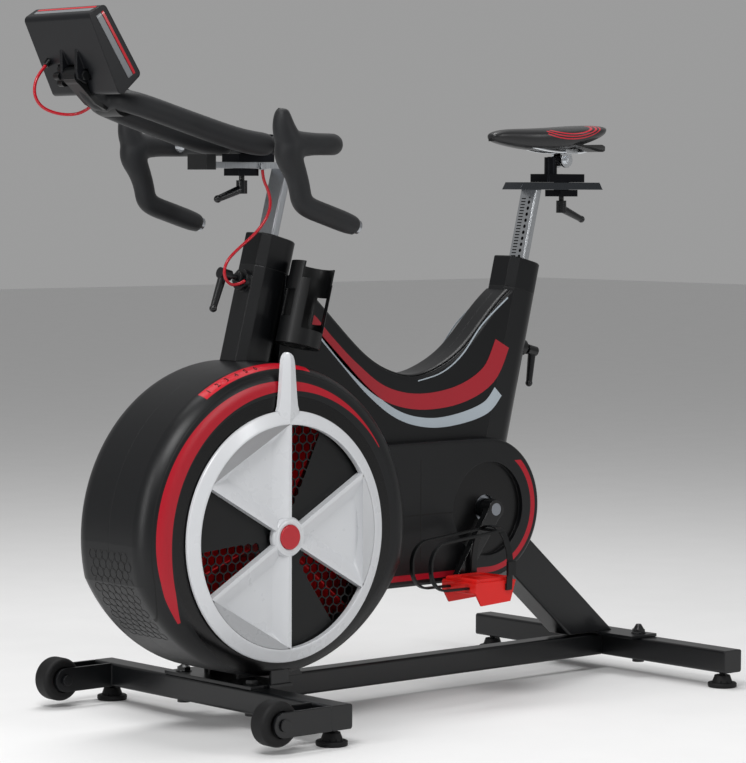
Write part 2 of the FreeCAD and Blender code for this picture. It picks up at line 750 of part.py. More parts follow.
def chain_case(side):
    """A moulded cover over the drive, with a dished recess round the crank."""
    outer = thicken_y(case_wire(0.0), cover_gap, case_half)
    rim = [e for e in outer.Edges if e.BoundBox.YMin > case_half - 0.1 and e.BoundBox.XMax < fan_x - 245]
    rim += [e for e in outer.Edges if e.BoundBox.YMin > case_half - 0.1 and e.BoundBox.XLength > 300
            and e not in rim]
    outer = outer.makeFillet(7.0, rim)
    dish_floor = case_half - 10.0
    hollow = thicken_y(case_wire(cover_wall), cover_gap - 1, case_half - cover_wall)
    hollow = hollow.cut(rod_y(0, crank_z, case_dish_r + cover_wall, dish_floor - cover_wall, case_half))
    shell = outer.cut(hollow)
    shell = shell.cut(rod_y(0, crank_z, case_dish_r, dish_floor, case_half + 5))
    shell = shell.cut(rod_y(0, crank_z, 26.0, 0, case_half + 5))
    for blocker in (housing_clear, seat_outer, strut_solid(cover_gap, 0.0),
                    thicken_y(frame_wire, -1.0, cover_half + cover_gap)):
        shell = shell.cut(blocker)
    solid = max(shell.Solids, key=lambda s: s.Volume)
    return solid if side > 0 else mirrored(solid)


left_chain_case = chain_case(1)
right_chain_case = chain_case(-1)

# ---------------------------------------------------------------- fan housing shells
housing_inner = housing_body(housing_wall)
chain_slot = block((fan_x - housing_r - 20, fan_x - housing_r + 70),
                   (chain_y - chain_wide / 2 - 4, chain_y + chain_wide / 2 + 4), (crank_z - 85, crank_z + 80))
stay_slots = [block((fan_x - stay_half - 1, fan_x + stay_half + 1), (y - 1, y + stay_thick + 1), (0, 200))
              for y in (left_stay_y, right_stay_y)]


def housing_shell(side):
    shell = housing_outer.cut(housing_inner)
    keep = (housing_split_y, housing_left_y + 1) if side > 0 else (housing_right_y - 1, housing_split_y)
    shell = shell.common(block((fan_x - 400, fan_x + 400), keep, (0, 800)))
    shell = shell.cut(chain_slot)
    for slot in stay_slots:
        shell = shell.cut(slot)
    wall_y = housing_left_y if side > 0 else housing_right_y
    shell = shell.cut(rod_y(fan_x, fan_z, vent_r - 4.0, wall_y - 20, wall_y + 20).common(
        rod_y(fan_x, housing_base_z, housing_base_r - 12.0, wall_y - 20, wall_y + 20)))
    return max(shell.Solids, key=lambda s: s.Volume)


left_fan_housing = housing_shell(1)
right_fan_housing = housing_shell(-1)


# ---------------------------------------------------------------- vent discs
vent_inner_r = 58.0
vent_edge = 22.0
smallest_cell = 30.0            # mm2; a clipped cell smaller than this stays solid


def vent_window(radius, middle, half_angle):
    """The sector of a vent disc that its honeycomb fills."""
    ring = rod_y(0, 0, radius - vent_edge, 0, vent_thick).cut(rod_y(0, 0, vent_inner_r, -1, vent_thick + 1))
    low, high = math.radians(middle - half_angle), math.radians(middle + half_angle)
    reach = 2 * radius
    corners = [(0, 0), (reach * math.cos(low), reach * math.sin(low)), (reach * math.cos(high), reach * math.sin(high))]
    return ring.common(plate_xz(corners, -1, vent_thick + 1))


def vent_cell(x, z, radius):
    """One six-sided cell with two upright sides."""
    corners = []
    for turn in range(6):
        angle = math.radians(60 * turn + 30)
        corners.append((x + radius * math.cos(angle), z + radius * math.sin(angle)))
    return plate_xz(corners, 0, vent_thick)


def vent_disc(y_low, radius, sectors, half_angle):
    """A flat disc with honeycomb sectors; cells are clipped where a sector ends."""
    cell_r = (hex_pitch - hex_web) / math.sqrt(3)
    row_step = hex_pitch * math.sqrt(3) / 2
    rows = int(radius / row_step)
    columns = int(radius / hex_pitch) + 1
    cells = []
    for row in range(-rows, rows + 1):
        for column in range(-columns, columns + 1):
            x = (column + (0.5 if row % 2 else 0.0)) * hex_pitch
            z = row * row_step
            if vent_inner_r - cell_r < math.hypot(x, z) < radius - vent_edge + cell_r:
                cells.append(vent_cell(x, z, cell_r))
    cells = group(cells)
    openings = []
    for middle in sectors:
        for cell in cells.common(vent_window(radius, middle, half_angle)).Solids:
            if cell.Volume > smallest_cell * vent_thick:
                openings.append(cell)
    disc = rod_y(0, 0, radius, 0, vent_thick).cut(openings)
    disc.translate(Vec(fan_x, y_low, fan_z))
    return disc


vent_trim = housing_body(housing_wall + cover_gap)
left_vent_y = housing_left_y - housing_wall - cover_gap - vent_thick
vent_face_y = left_vent_y + vent_thick
left_vent = vent_disc(left_vent_y, vent_r, (85, -35, -155), 30).common(vent_trim)
pivot_r = 8.0
pivot_boss = rod_y(fan_x, fan_z, 20.0, vent_face_y, housing_left_y + 2.6)
pivot_pin = rod_y(fan_x, fan_z, pivot_r, housing_left_y, housing_left_y + 11.0)
left_vent = fused([left_vent, pivot_boss, pivot_pin])
right_vent_y = housing_right_y + housing_wall + cover_gap
right_vent = vent_disc(right_vent_y, vent_r, (0, 60, 120, 180, -60, -120), 26).common(vent_trim)
vent_grilles = group([left_vent, right_vent])

# ---------------------------------------------------------------- fan axle, fan and sprocket
axle_end = rod_y(fan_x, fan_z, 11.0, left_stay_y + stay_thick, left_stay_y + stay_thick + 5)
axle_end2 = rod_y(fan_x, fan_z, 11.0, right_stay_y - 7, right_stay_y)
axle_bar = rod_y(fan_x, fan_z, fan_axle_r, right_stay_y, left_stay_y + stay_thick)
bearing_long = 12.0
fan_hub_y = (-48.0, 120.0)
fan_axle = group([fused([axle_bar, axle_end, axle_end2]),
                  bearing(fan_x, fan_z, fan_axle_r, fan_bearing_r, fan_hub_y[0], fan_hub_y[0] + bearing_long),
                  bearing(fan_x, fan_z, fan_axle_r, fan_bearing_r, fan_hub_y[1] - bearing_long, fan_hub_y[1])])


def fan_wheel_piece():
    """Two rows of flat blades on discs either side of the sprocket, on one hub."""
    hub = rod_y(fan_x, fan_z, fan_hub_r, *fan_hub_y)
    parts = [hub]
    for disc_y, blade_y in (((56.0, 59.0), (59.0, 116.0)), ((26.0, 29.0), (-46.0, 26.0))):
        parts.append(rod_y(fan_x, fan_z, fan_blade_r, *disc_y))
        for turn in range(fan_blades):
            blade = block((60.0, fan_blade_r), (blade_y[0], blade_y[1]), (-1.2, 1.2))
            blade.rotate(Vec(0, 0, 0), Vec(0, 1, 0), 360.0 * turn / fan_blades)
            blade.translate(Vec(fan_x, 0, fan_z))
            parts.append(blade)
    wheel = fused(parts)
    return wheel.cut(rod_y(fan_x, fan_z, fan_bearing_r + running_fit, fan_hub_y[0] - 1, fan_hub_y[1] + 1))


# the housing's flat base comes closer than its rim, so it sets the length of the blades
fan_blade_r = fan_z - (housing_floor_z + housing_wall) - fan_tip_gap
fan_wheel = fan_wheel_piece()
fan_sprocket = rod_y(fan_x, fan_z, sprocket_r, chain_y - 3, chain_y + 3).cut(
    rod_y(fan_x, fan_z, fan_hub_r, chain_y - 9, chain_y + 9))


# ---------------------------------------------------------------- air control disc
def air_disc_piece():
    """A ring with six spokes, three closed panels between them and a finger lever on top."""
    y_low = housing_left_y + air_disc_gap
    y_high = y_low + air_disc_thick
    ring = rod_y(fan_x, fan_z, air_disc_r, y_low, y_high)
    ring = ring.cut(rod_y(fan_x, fan_z, air_disc_r - air_ring_wide, y_low - 1, y_high + 1))
    parts = [ring, rod_y(fan_x, fan_z, 26.0, y_low, y_high)]
    inner = air_disc_r - air_ring_wide + 2
    for turn in range(6):
        angle = 30 + 60 * turn
        spoke = block((15, inner), (y_low + 1, y_high), (-6, 6))
        spoke.rotate(Vec(0, 0, 0), Vec(0, 1, 0), -angle)
        spoke.translate(Vec(fan_x, 0, fan_z))
        parts.append(spoke)
    for turn in range(3):
        # panels lie between the spokes at 30 and 90, 150 and 210, and 270 and 330 degrees
        start = math.radians(30 + 120 * turn)
        end = math.radians(90 + 120 * turn)
        arc = Part.Arc(Vec(inner * math.cos(start), 0, inner * math.sin(start)),
                       Vec(inner * math.cos((start + end) / 2), 0, inner * math.sin((start + end) / 2)),
                       Vec(inner * math.cos(end), 0, inner * math.sin(end))).toShape()
        first = Part.LineSegment(Vec(0, 0, 0), arc.Vertexes[0].Point).toShape()
        last = Part.LineSegment(arc.Vertexes[-1].Point, Vec(0, 0, 0)).toShape()
        panel = Part.Face(Part.Wire([first, arc, last])).extrude(Vec(0, 3.0, 0))
        panel.translate(Vec(fan_x, y_low, fan_z))
        parts.append(panel)
    lever = plate_xz([(fan_x + 25, fan_z + air_disc_r - 10), (fan_x - 25, fan_z + air_disc_r - 10),
                      (fan_x - 14, fan_z + air_lever_reach - 14), (fan_x + 14, fan_z + air_lever_reach - 14)],
                     y_low + 1, y_high)
    parts += [lever, rod_y(fan_x, fan_z + air_lever_reach - 14, 14, y_low + 1, y_high)]
    disc = fused(parts)
    return disc.cut(rod_y(fan_x, fan_z, pivot_r + running_fit, y_low - 1, y_high + 1))


air_disc = air_disc_piece()
cap_y = housing_left_y + air_disc_gap + air_disc_thick
air_disc_cap = rod_y(fan_x, fan_z, 22.0, cap_y, cap_y + 5.0)
air_disc_cap = air_disc_cap.makeFillet(2.0, [e for e in air_disc_cap.Edges if e.BoundBox.YMin > cap_y + 4.9
                                             and e.Curve.TypeId == "Part::GeomCircle"])


# ---------------------------------------------------------------- bottle cage
cage_r = 37.5
cage_wall = 3.0
cage_tall = 150.0


def bottle_cage_piece():
    """A moulded strip with two wings that hug a bottle, and a cup under it; drawn upright and tilted."""
    centre_y = cover_half + cover_gap + 4.0 + cage_r
    wings = Part.makeCylinder(cage_r + cage_wall, cage_tall, Vec(0, centre_y, -cage_tall))
    wings = wings.cut(Part.makeCylinder(cage_r, cage_tall - 8.0, Vec(0, centre_y, -cage_tall + 8.0)))
    wings = wings.cut(Part.makeCylinder(cage_r - 12, cage_tall, Vec(0, centre_y, -cage_tall - 5)))
    mouth = block((-26, 26), (centre_y, centre_y + 60), (-cage_tall + 30, 5))
    top_cut = block((-60, 60), (centre_y + 18, centre_y + 60), (-30, 5))
    side_holes = block((-60, 60), (centre_y - 16, centre_y + 10), (-cage_tall + 48, -52))
    strip = block((-16, 16), (cover_half + cover_gap, centre_y - cage_r + 2.0), (-cage_tall + 10, -6))
    cage = wings.cut(mouth).cut(top_cut).cut(side_holes)
    cage = fused([cage, strip]).cut(Part.makeCylinder(cage_r, cage_tall - 8.0, Vec(0, centre_y, -cage_tall + 8.0)))
    cage = max(cage.Solids, key=lambda s: s.Volume)
    return cage


cage_top = (452.0, 822.0)
bottle_cage = tilt_to(bottle_cage_piece(), cage_top, head_tilt)

# ---------------------------------------------------------------- cranks
lean = math.radians(crank_lean)
left_pedal_at = (crank_long * math.sin(lean), crank_z - crank_long * math.cos(lean))
right_pedal_at = (-left_pedal_at[0], 2 * crank_z - left_pedal_at[1])
crank_outer_y = crank_inner_y + crank_thick
boss_inner_y = chain_y + 2.0 + cover_gap
pedal_inner_y = crank_outer_y + 9.0
pedal_outer_y = pedal_inner_y + pedal_wide
crank_axle = rod_y(0, crank_z, axle_r, -crank_outer_y, crank_outer_y)


def crank_and_spindle(at):
    """A forged arm on the left side, with the pedal's spindle screwed into its end."""
    hub = rod_y(0, crank_z, 19.0, boss_inner_y, crank_outer_y)
    eye = rod_y(at[0], at[1], 15.0, crank_inner_y, crank_outer_y)
    along = Vec(at[0], 0, at[1] - crank_z)
    along.normalize()
    across = Vec(-along.z, 0, along.x)
    base = Vec(0, 0, crank_z)
    tip = Vec(at[0], 0, at[1])
    corners = [base + across * 17, base - across * 17, tip - across * 12, tip + across * 12]
    arm = plate_xz([(c.x, c.z) for c in corners], crank_inner_y, crank_outer_y)
    crank = fused([hub, eye, arm])
    crank = crank.cut(rod_y(0, crank_z, axle_r, 0, 200))
    crank = crank.cut(rod_y(at[0], at[1], spindle_r, crank_inner_y - 1, crank_outer_y + 1))
    flange = rod_y(at[0], at[1], 10.0, crank_outer_y, crank_outer_y + 4.0)
    spindle = rod_y(at[0], at[1], spindle_r, crank_inner_y, pedal_outer_y - 6.0)
    return group([crank, fused([spindle, flange])])


left_crank = crank_and_spindle(left_pedal_at)
right_crank = mirrored(crank_and_spindle(right_pedal_at))


# ---------------------------------------------------------------- pedals and toe clips
def pedal_piece(at):
    """A moulded platform with cut-outs and a cage plate each side, drawn level on the left side."""
    x, z = at
    half = pedal_long / 2
    body = block((x - half, x + half), (pedal_inner_y + 4, pedal_outer_y - 4), (z - 9, z + 20))
    body = rounded(body, 5.0, (0, 1, 0))
    for end in (-1, 1):
        middle = x + end * 29.0
        hole = block((middle - 12, middle + 12), (pedal_inner_y + 16, pedal_outer_y - 16), (z - 20, z + 30))
        body = body.cut(hole)
    plates = []
    for low in (pedal_inner_y, pedal_outer_y - 4):
        plates.append(plate_xz([(x - half - 4, z + 14), (x - half + 10, z - 26), (x + half - 10, z - 30),
                                (x + half + 6, z - 4), (x + half + 4, z + 14)], low, low + 4))
    toe_bar = block((x + half - 2, x + half + 6), (pedal_inner_y, pedal_outer_y), (z - 6, z + 12))
    pedal = fused([body, toe_bar] + plates)
    return pedal.cut(rod_y(x, z, spindle_r + running_fit, pedal_inner_y - 1, pedal_outer_y - 5.0))


def toe_clip_piece(at):
    """Two bent bands with a bridge at their upper ends, and a strap with its buckle."""
    x, z = at
    front = x + pedal_long / 2 + 6
    middle_y = (pedal_inner_y + pedal_outer_y) / 2
    parts = []
    for side in (-1, 1):
        y = middle_y + side * 26.0
        points = [(front, y, z + 3), (x + 146, y, z + 3), (x + 148, y, z + 88), (x - 36, y, z + 106)]
        parts.append(ribbon_along(points, (0, 1, 0), 4.0, 9.0))
    bridge = block((x - 36, x - 24), (middle_y - 26, middle_y + 26), (z + 102.5, z + 106))
    clip = fused(parts + [bridge])
    strap_x = x - 30
    side_gap = 3.0
    low_y = pedal_inner_y - side_gap
    high_y = pedal_outer_y + side_gap
    strap_points = [(strap_x, high_y, z - 4), (strap_x, high_y + 4, z + 62), (strap_x, middle_y + 28, z + 112),
                    (strap_x, middle_y - 28, z + 112), (strap_x, low_y + 4, z + 66), (strap_x, low_y, z - 4)]
    strap = ribbon_along(strap_points, (1, 0, 0), 2.4, 14.0)
    buckle = block((strap_x - 10, strap_x + 10), (high_y + 3.3, high_y + 9), (z + 24, z + 50))
    lug = [block((strap_x - 7, strap_x + 7), (pedal_outer_y, high_y - 1.2), (z - 4, z + 8)),
           block((strap_x - 7, strap_x + 7), (low_y + 1.2, pedal_inner_y), (z - 4, z + 8))]
    return group([clip, strap.cut(clip), buckle.cut(strap)] + [piece.cut(strap) for piece in lug])


left_pedal = pedal_piece(left_pedal_at)
left_toe_clip = toe_clip_piece(left_pedal_at)
right_pedal = mirrored(pedal_piece(right_pedal_at))
right_toe_clip = mirrored(toe_clip_piece(right_pedal_at))


# ---------------------------------------------------------------- clamp levers
def clamp_lever(face, outward, arm, reach, stud_in, arm_long):
    """A ratchet lever: a stud, a round hub at its outer end and a tapered arm with a rounded tip."""
    start = Vec(*face)
    out = Vec(*outward)
    out.normalize()
    arm_dir = Vec(*arm)
    arm_dir.normalize()
    stud = Part.makeCylinder(stud_r, reach + stud_in, start - out * stud_in, out)
    hub = Part.makeCylinder(10.0, 24.0, start + out * reach, out)
    neck = start + out * (reach + 15.0)
    shaft = Part.makeCone(8.0, 6.0, arm_long, neck, arm_dir)
    tip = Part.makeSphere(7.0, neck + arm_dir * arm_long)
    return fused([stud, hub, shaft, tip])


def clamp_nut(face, outward, lift):
    start = tuple(face[i] + outward[i] * lift for i in range(3))
    nut = hexagon_prism(start, 13.0, 8.0, outward)
    bore_start = tuple(face[i] + outward[i] * (lift - 1) for i in range(3))
    return nut.cut(rod(bore_start, outward, stud_r + running_fit, 12.0))


post_front_gap = mast_deep / 2 - bar_post_offset - post_deep / 2 - sliding_gap
bar_height_lever = clamp_lever(head_face, head_out, tilted_direction(head_tilt, 0.10, -1), 34.0,
                               post_front_gap - 0.2, 66.0)
seat_height_lever = clamp_lever(seat_face, seat_out, tilted_direction(seat_tilt, -0.12, -1), 22.0,
                                mast_deep / 2 - post_deep / 2 - sliding_gap - 0.2, 64.0)
frame_bolts.append(clamp_nut(head_face, head_out, boss_tall))
# the studs pass through the bushes and the walls behind them
stud_bores = group([rod(tuple(head_face[i] - head_out[i] * 60 for i in range(3)), head_out, stud_r + running_fit, 60),
                    rod(tuple(seat_face[i] - seat_out[i] * 60 for i in range(3)), seat_out, stud_r + running_fit, 60)])
tube_collars = group([piece.cut(stud_bores) for piece in tube_collars.Solids])


# ---------------------------------------------------------------- bar post and rail
def slotted_rail(x, z_low, z_high, half_wide, slot_x, bevel):
    """A flat rail with sloping ends and a long slot for the clamp's stem."""
    low, high = x
    rail = plate_xz([(low, z_low), (high, z_low), (high - bevel, z_high), (low + bevel, z_high)],
                    -half_wide, half_wide)
    return rail.cut(block(slot_x, (-rail_slot_half, rail_slot_half), (z_low - 1, z_high + 1)))


rail_slot_half = 6.5
rail_tall = 11.0
bar_slot = (bar_x - 28, bar_x + 98)
bar_rail_x = (bar_x - 67, bar_x + 120)


def bar_post_piece():
    post = post_bar(bar_post_offset, 0.0, -bar_post_in, bar_post_out + 20)
    hollow = post_bar(bar_post_offset, post_wall, -bar_post_in - 5, bar_post_out + 30)
    post = tilt_to(post.cut(hollow), head_top, head_tilt)
    post = post.cut(block((300, 700), (-60, 60), (bar_rail_z, bar_rail_z + 80)))
    rail = slotted_rail(bar_rail_x, bar_rail_z, bar_rail_z + rail_tall, 25.0, bar_slot, 5.0)
    stop = block((bar_rail_x[1] - 4, bar_rail_x[1] + 18), (-27, 27), (bar_rail_z - 3, bar_rail_z + 24))
    clip = block((bar_x + 6, bar_x + 16), (25, 31), (bar_rail_z - 2, bar_rail_z + 9))
    return fused([post, rail, stop, clip])


bar_post = bar_post_piece()
bar_clamp_x = bar_x + 36.0
bar_top_z = bar_rail_z + rail_tall + sliding_gap
bar_under_z = bar_rail_z - sliding_gap


def bar_slider_piece():
    """The carriage on the rail: a block on top, a stem through the slot, a plate below and the bar's clamp."""
    top = block((bar_x - 20, bar_x + 62), (-24, 24), (bar_top_z, bar_top_z + 14))
    stem = block((bar_clamp_x - 15, bar_clamp_x + 15), (-rail_slot_half + sliding_gap, rail_slot_half - sliding_gap),
                 (bar_under_z - 1, bar_top_z + 1))
    plate = block((bar_clamp_x - 22, bar_clamp_x + 24), (-21, 21), (bar_under_z - 13, bar_under_z))
    clamp = block((bar_x - 20, bar_x + 20), (-24, 24), (bar_top_z, bar_z + 20))
    slider = fused([top, stem, plate, rounded(clamp, 6.0, (0, 1, 0))])
    slider = slider.cut(rod_y(bar_x, bar_z, bar_core_r, -60, 60))
    return slider.cut(rod((bar_clamp_x, 0, bar_under_z - 14), (0, 0, 1), stud_r + running_fit, 12.0))


bar_slider = bar_slider_piece()
bar_slide_lever = clamp_lever((bar_clamp_x, 0, bar_under_z - 13), (0, 0, -1), (0.95, 0, -0.32), 8.0, 9.0, 58.0)


def bar_route():
    """Half of the bar's centre line: from the middle out to the hood, round the drop and back."""
    y = bar_half
    return [(bar_x, 0, bar_z), (bar_x, y, bar_z), (bar_x + 112, y, bar_z + 4), (bar_x + 118, y, bar_z - 34),
            (bar_x + 90, y, bar_z - 66), (bar_x + 80, y, bar_z - 108), (bar_x - 46, y, bar_z - 144)]


def half_bar(radius, points):
    return tube_along(points, radius)


def handlebar_core():
    left = tube_along(bar_route(), bar_core_r)
    return fused([left, mirrored(left)])


handlebar_tube = handlebar_core()


def foam_sleeve():
    """The moulded foam over one side of the bar, with the raised hood at its front."""
    sleeve = tube_along(bar_route(), bar_foam_r)
    hood = Part.makeCone(bar_foam_r + 1.5, 16.0, 40.0, Vec(bar_x + 116, bar_half, bar_z + 6), Vec(0.16, 0, 1))
    knob = Part.makeSphere(16.0, Vec(bar_x + 122.3, bar_half, bar_z + 45.5))
    sleeve = sleeve.fuse([hood, knob])
    sleeve = sleeve.cut(block((bar_x - 60, bar_x + 60), (-60, 26), (bar_z - 60, bar_z + 60)))
    return max(sleeve.cut(tube_along(bar_route(), bar_core_r)).Solids, key=lambda s: s.Volume)


left_foam = foam_sleeve()
bar_foam = group([left_foam, mirrored(left_foam)])


# ---------------------------------------------------------------- aero bars and monitor riser
aero_front = (bar_x + 318, bar_z + 70)


def aero_bars_piece():
    """Two padded extensions joined across the front; their rear ends seat on the handlebar's foam."""
    parts = []
    for side in (-1, 1):
        y = side * aero_half
        parts.append(tube_along([(bar_x + bar_foam_r + 3, y, bar_z + 0.5), (bar_x + 100, y, bar_z + 10),
                                 (aero_front[0] + 18, y * 0.85, aero_front[1] + 5)], aero_r))
        parts.append(Part.makeSphere(aero_r, Vec(aero_front[0] + 18, y * 0.85, aero_front[1] + 5)))
    parts.append(rod((aero_front[0], -aero_half * 0.85, aero_front[1]), (0, 1, 0), aero_r - 3, 2 * aero_half * 0.85))
    bars = fused(parts)
    return bars.cut(rod_y(bar_x, bar_z, bar_foam_r + cover_gap, -200, 200))


aero_bars = aero_bars_piece()
yoke_half = 17.0
pivot_bolt_r = 4.0


def monitor_riser_piece():
    """A moulded arm from the front crossbar up to the monitor's hinge."""
    px, pz = monitor_pivot
    fx, fz = aero_front
    arm = plate_xz([(fx + 6, fz + 14), (fx + 30, fz - 14), (fx + 52, fz - 4), (px + 16, pz - 6), (px - 4, pz + 12),
                    (px - 16, pz + 2)], -yoke_half, yoke_half)
    eye = rod_y(px, pz, 16.0, -yoke_half, yoke_half)
    base = rod_y(fx, fz, aero_r + 3, -30, 30)
    riser = fused([arm, eye, base])
    riser = riser.cut(aero_bars)
    riser = riser.cut(rod_y(px, pz, pivot_bolt_r + running_fit, -60, 60))
    return max(riser.Solids, key=lambda s: s.Volume)


monitor_riser = monitor_riser_piece()

# ---------------------------------------------------------------- monitor
case_front_top = (929.0, 1269.0)
case_front_low = (852.0, 1152.0)
case_back_low = (897.0, 1112.0)
case_back_top = (962.0, 1249.0)
ear_y = yoke_half + 1.0
ear_thick = 7.0


def monitor_case_piece():
    """A wedge-shaped housing with a recess for the screen and two hinge ears on its back."""
    corners = [case_front_top, case_front_low, case_back_low, case_back_top]
    body = plate_xz(corners, -monitor_half, monitor_half)
    body = body.makeFillet(9.0, long_edges(body, (0, 1, 0)))
    px, pz = monitor_pivot
    # room for the riser's eye and arm, and for the knob and the nut beside the ears
    body = body.cut(rod_y(px, pz, 19.0, -ear_y, ear_y))
    body = body.cut(plate_xz([(px - 120, pz + 4), (px + 40, pz + 4), (px + 40, pz - 80), (px - 120, pz - 80)],
                             -ear_y, ear_y))
    body = body.cut(rod_y(px, pz, 21.0, -ear_y - ear_thick - 22, -ear_y - ear_thick))
    body = body.cut(rod_y(px, pz, 11.0, ear_y + ear_thick, ear_y + ear_thick + 10))
    for side in (-1, 1):
        low, high = sorted((side * ear_y, side * (ear_y + ear_thick)))
        ear = plate_xz([(px - 20, pz + 6), (px - 4, pz - 14), (px + 13, pz - 6), (px + 16, pz + 8),
                        (case_back_top[0] - 26, case_back_top[1] - 45), (px + 6, pz + 40)], low, high)
        body = body.fuse(ear)
    body = body.removeSplitter()
    body = body.cut(rod_y(px, pz, pivot_bolt_r + running_fit, -60, 60))
    body = body.cut(rod(tuple(plug_at[i] - plug_dir[i] for i in range(3)), plug_dir, plug_r + cover_gap, 60))
    return body.cut(screen_slab(0.0, cover_gap))


def screen_slab(lift, grow):
    """The window, parallel to the front face and let into it."""
    low = Vec(case_front_low[0], 0, case_front_low[1])
    high = Vec(case_front_top[0], 0, case_front_top[1])
    up = high - low
    length = up.Length
    up.normalize()
    inward = Vec(up.z, 0, -up.x)
    margin = 17.0 - grow
    half = monitor_half - 16.0 + grow
    corners = [low + up * margin - inward * 1, low + up * (length - margin) - inward * 1,
               low + up * (length - margin) + inward * (2.5 + grow), low + up * margin + inward * (2.5 + grow)]
    slab = plate_xz([(c.x, c.z) for c in corners], -half, half)
    return slab


monitor_case = monitor_case_piece()
full_front = plate_xz([case_front_top, case_front_low, case_back_low, case_back_top], -monitor_half, monitor_half)
monitor_screen = screen_slab(0.0, 0.0).common(full_front)


def star_knob(x, z, y_from, y_to):
    """A five-lobed hand knob with its bolt through the hinge."""
    low, high = sorted((y_from, y_to))
    parts = [rod_y(x, z, 12.0, low, high)]
    for lobe in range(5):
        angle = math.radians(72 * lobe)
        parts.append(rod_y(x + 12 * math.cos(angle), z + 12 * math.sin(angle), 6.5, low + 2, high - 2))
    return fused(parts)


knob_inner = ear_y + ear_thick + 0.5
knob_bolt = rod_y(monitor_pivot[0], monitor_pivot[1], pivot_bolt_r, -knob_inner - 1, knob_inner + 0.5)
knob_nut = hexagon_prism((monitor_pivot[0], knob_inner, monitor_pivot[1]), 9.0, 6.0, (0, 1, 0))
monitor_knob = fused([star_knob(monitor_pivot[0], monitor_pivot[1], -knob_inner, -knob_inner - 18), knob_bolt, knob_nut])

# ---------------------------------------------------------------- seat post, slider, clamp and saddle
seat_slot = (saddle_x - 74, saddle_x + 84)
seat_rail_x = (saddle_x - 90, saddle_x + 137)


def seat_post_piece():
    post = post_bar(0.0, 0.0, -seat_post_in, seat_post_out + 20)
    hollow = post_bar(0.0, post_wall, -seat_post_in - 5, seat_post_out + 30)
    post = tilt_to(post.cut(hollow), seat_top, seat_tilt)
    post = post.cut(block((-500, 100), (-60, 60), (seat_rail_z, seat_rail_z + 80)))
    rail = slotted_rail(seat_rail_x, seat_rail_z, seat_rail_z + rail_tall + 3, 25.0, seat_slot, 9.0)
    return fused([post, rail])


seat_post = seat_post_piece()
seat_top_z = seat_rail_z + rail_tall + 3 + sliding_gap
seat_under_z = seat_rail_z - sliding_gap
pillar_x = saddle_x + 30.0
pillar_r = 12.5


def saddle_slider_piece():
    """The carriage under the saddle with its round pillar."""
    top = block((saddle_x - 40, saddle_x + 62), (-26, 26), (seat_top_z, seat_top_z + 16))
    top = rounded(top, 4.0, (0, 0, 1))
    stem = block((saddle_x - 15, saddle_x + 15), (-rail_slot_half + sliding_gap, rail_slot_half - sliding_gap),
                 (seat_under_z - 1, seat_top_z + 1))
    plate = block((saddle_x - 24, saddle_x + 24), (-21, 21), (seat_under_z - 13, seat_under_z))
    pillar = rod((pillar_x, 0, seat_top_z + 15), (0, 0, 1), pillar_r, saddle_pivot_z - seat_top_z - 19)
    arm = block((saddle_x - 8, pillar_x), (-9, 9), (saddle_pivot_z - 16, saddle_pivot_z - 3))
    eye = rod_y(saddle_x, saddle_pivot_z - 9, 12.0, -9, 9)
    slider = fused([top, stem, plate, pillar, arm, eye])
    slider = slider.cut(rod_y(saddle_x, saddle_pivot_z - 9, 4.0 + running_fit, -30, 30))
    return slider.cut(rod((saddle_x, 0, seat_under_z - 14), (0, 0, 1), stud_r + running_fit, 12.0))


saddle_slider = saddle_slider_piece()
seat_slide_lever = clamp_lever((saddle_x, 0, seat_under_z - 13), (0, 0, -1), (-0.93, 0, -0.36), 8.0, 9.0, 60.0)
saddle_hinge = (saddle_x, saddle_pivot_z - 9)
saddle_nose_x = saddle_x + 195.0
saddle_tail_x = saddle_x - 85.0


def saddle_plan(inset):
    """The saddle seen from above: a long nose that widens to the rear."""
    span = saddle_nose_x - saddle_tail_x
    stations = [(0.0, 0.50), (0.06, 0.86), (0.17, 1.0), (0.30, 0.93), (0.45, 0.60), (0.60, 0.36), (0.80, 0.27),
                (0.95, 0.24), (1.0, 0.10)]
    left = []
    for share, wide in stations:
        x = saddle_tail_x + share * span
        left.append(Vec(x, max(saddle_half * wide - inset, 3.0), 900))
    right = [Vec(p.x, -p.y, p.z) for p in reversed(left)]
    curve_left = Part.BSplineCurve()
    curve_left.interpolate(left)
    curve_right = Part.BSplineCurve()
    curve_right.interpolate(right)
    edges = [curve_left.toShape(), Part.LineSegment(left[-1], right[0]).toShape(),
             curve_right.toShape(), Part.LineSegment(right[-1], left[0]).toShape()]
    return Part.Face(Part.Wire(edges)).extrude(Vec(0, 0, 300))


def saddle_side(top, bottom):
    """The saddle's side view, with a smooth top and a smooth underside."""
    over = Part.BSplineCurve()
    over.interpolate([Vec(x, -120, z) for x, z in top])
    under = Part.BSplineCurve()
    under.interpolate([Vec(x, -120, z) for x, z in bottom])
    edges = [over.toShape(), Part.LineSegment(Vec(top[-1][0], -120, top[-1][1]),
                                              Vec(bottom[0][0], -120, bottom[0][1])).toShape(),
             under.toShape(), Part.LineSegment(Vec(bottom[-1][0], -120, bottom[-1][1]),
                                               Vec(top[0][0], -120, top[0][1])).toShape()]
    return Part.Face(Part.Wire(edges)).extrude(Vec(0, 240, 0))


def along_saddle(share_z):
    span = saddle_nose_x - saddle_tail_x
    return [(saddle_nose_x - share * span, saddle_pivot_z + z) for share, z in share_z]


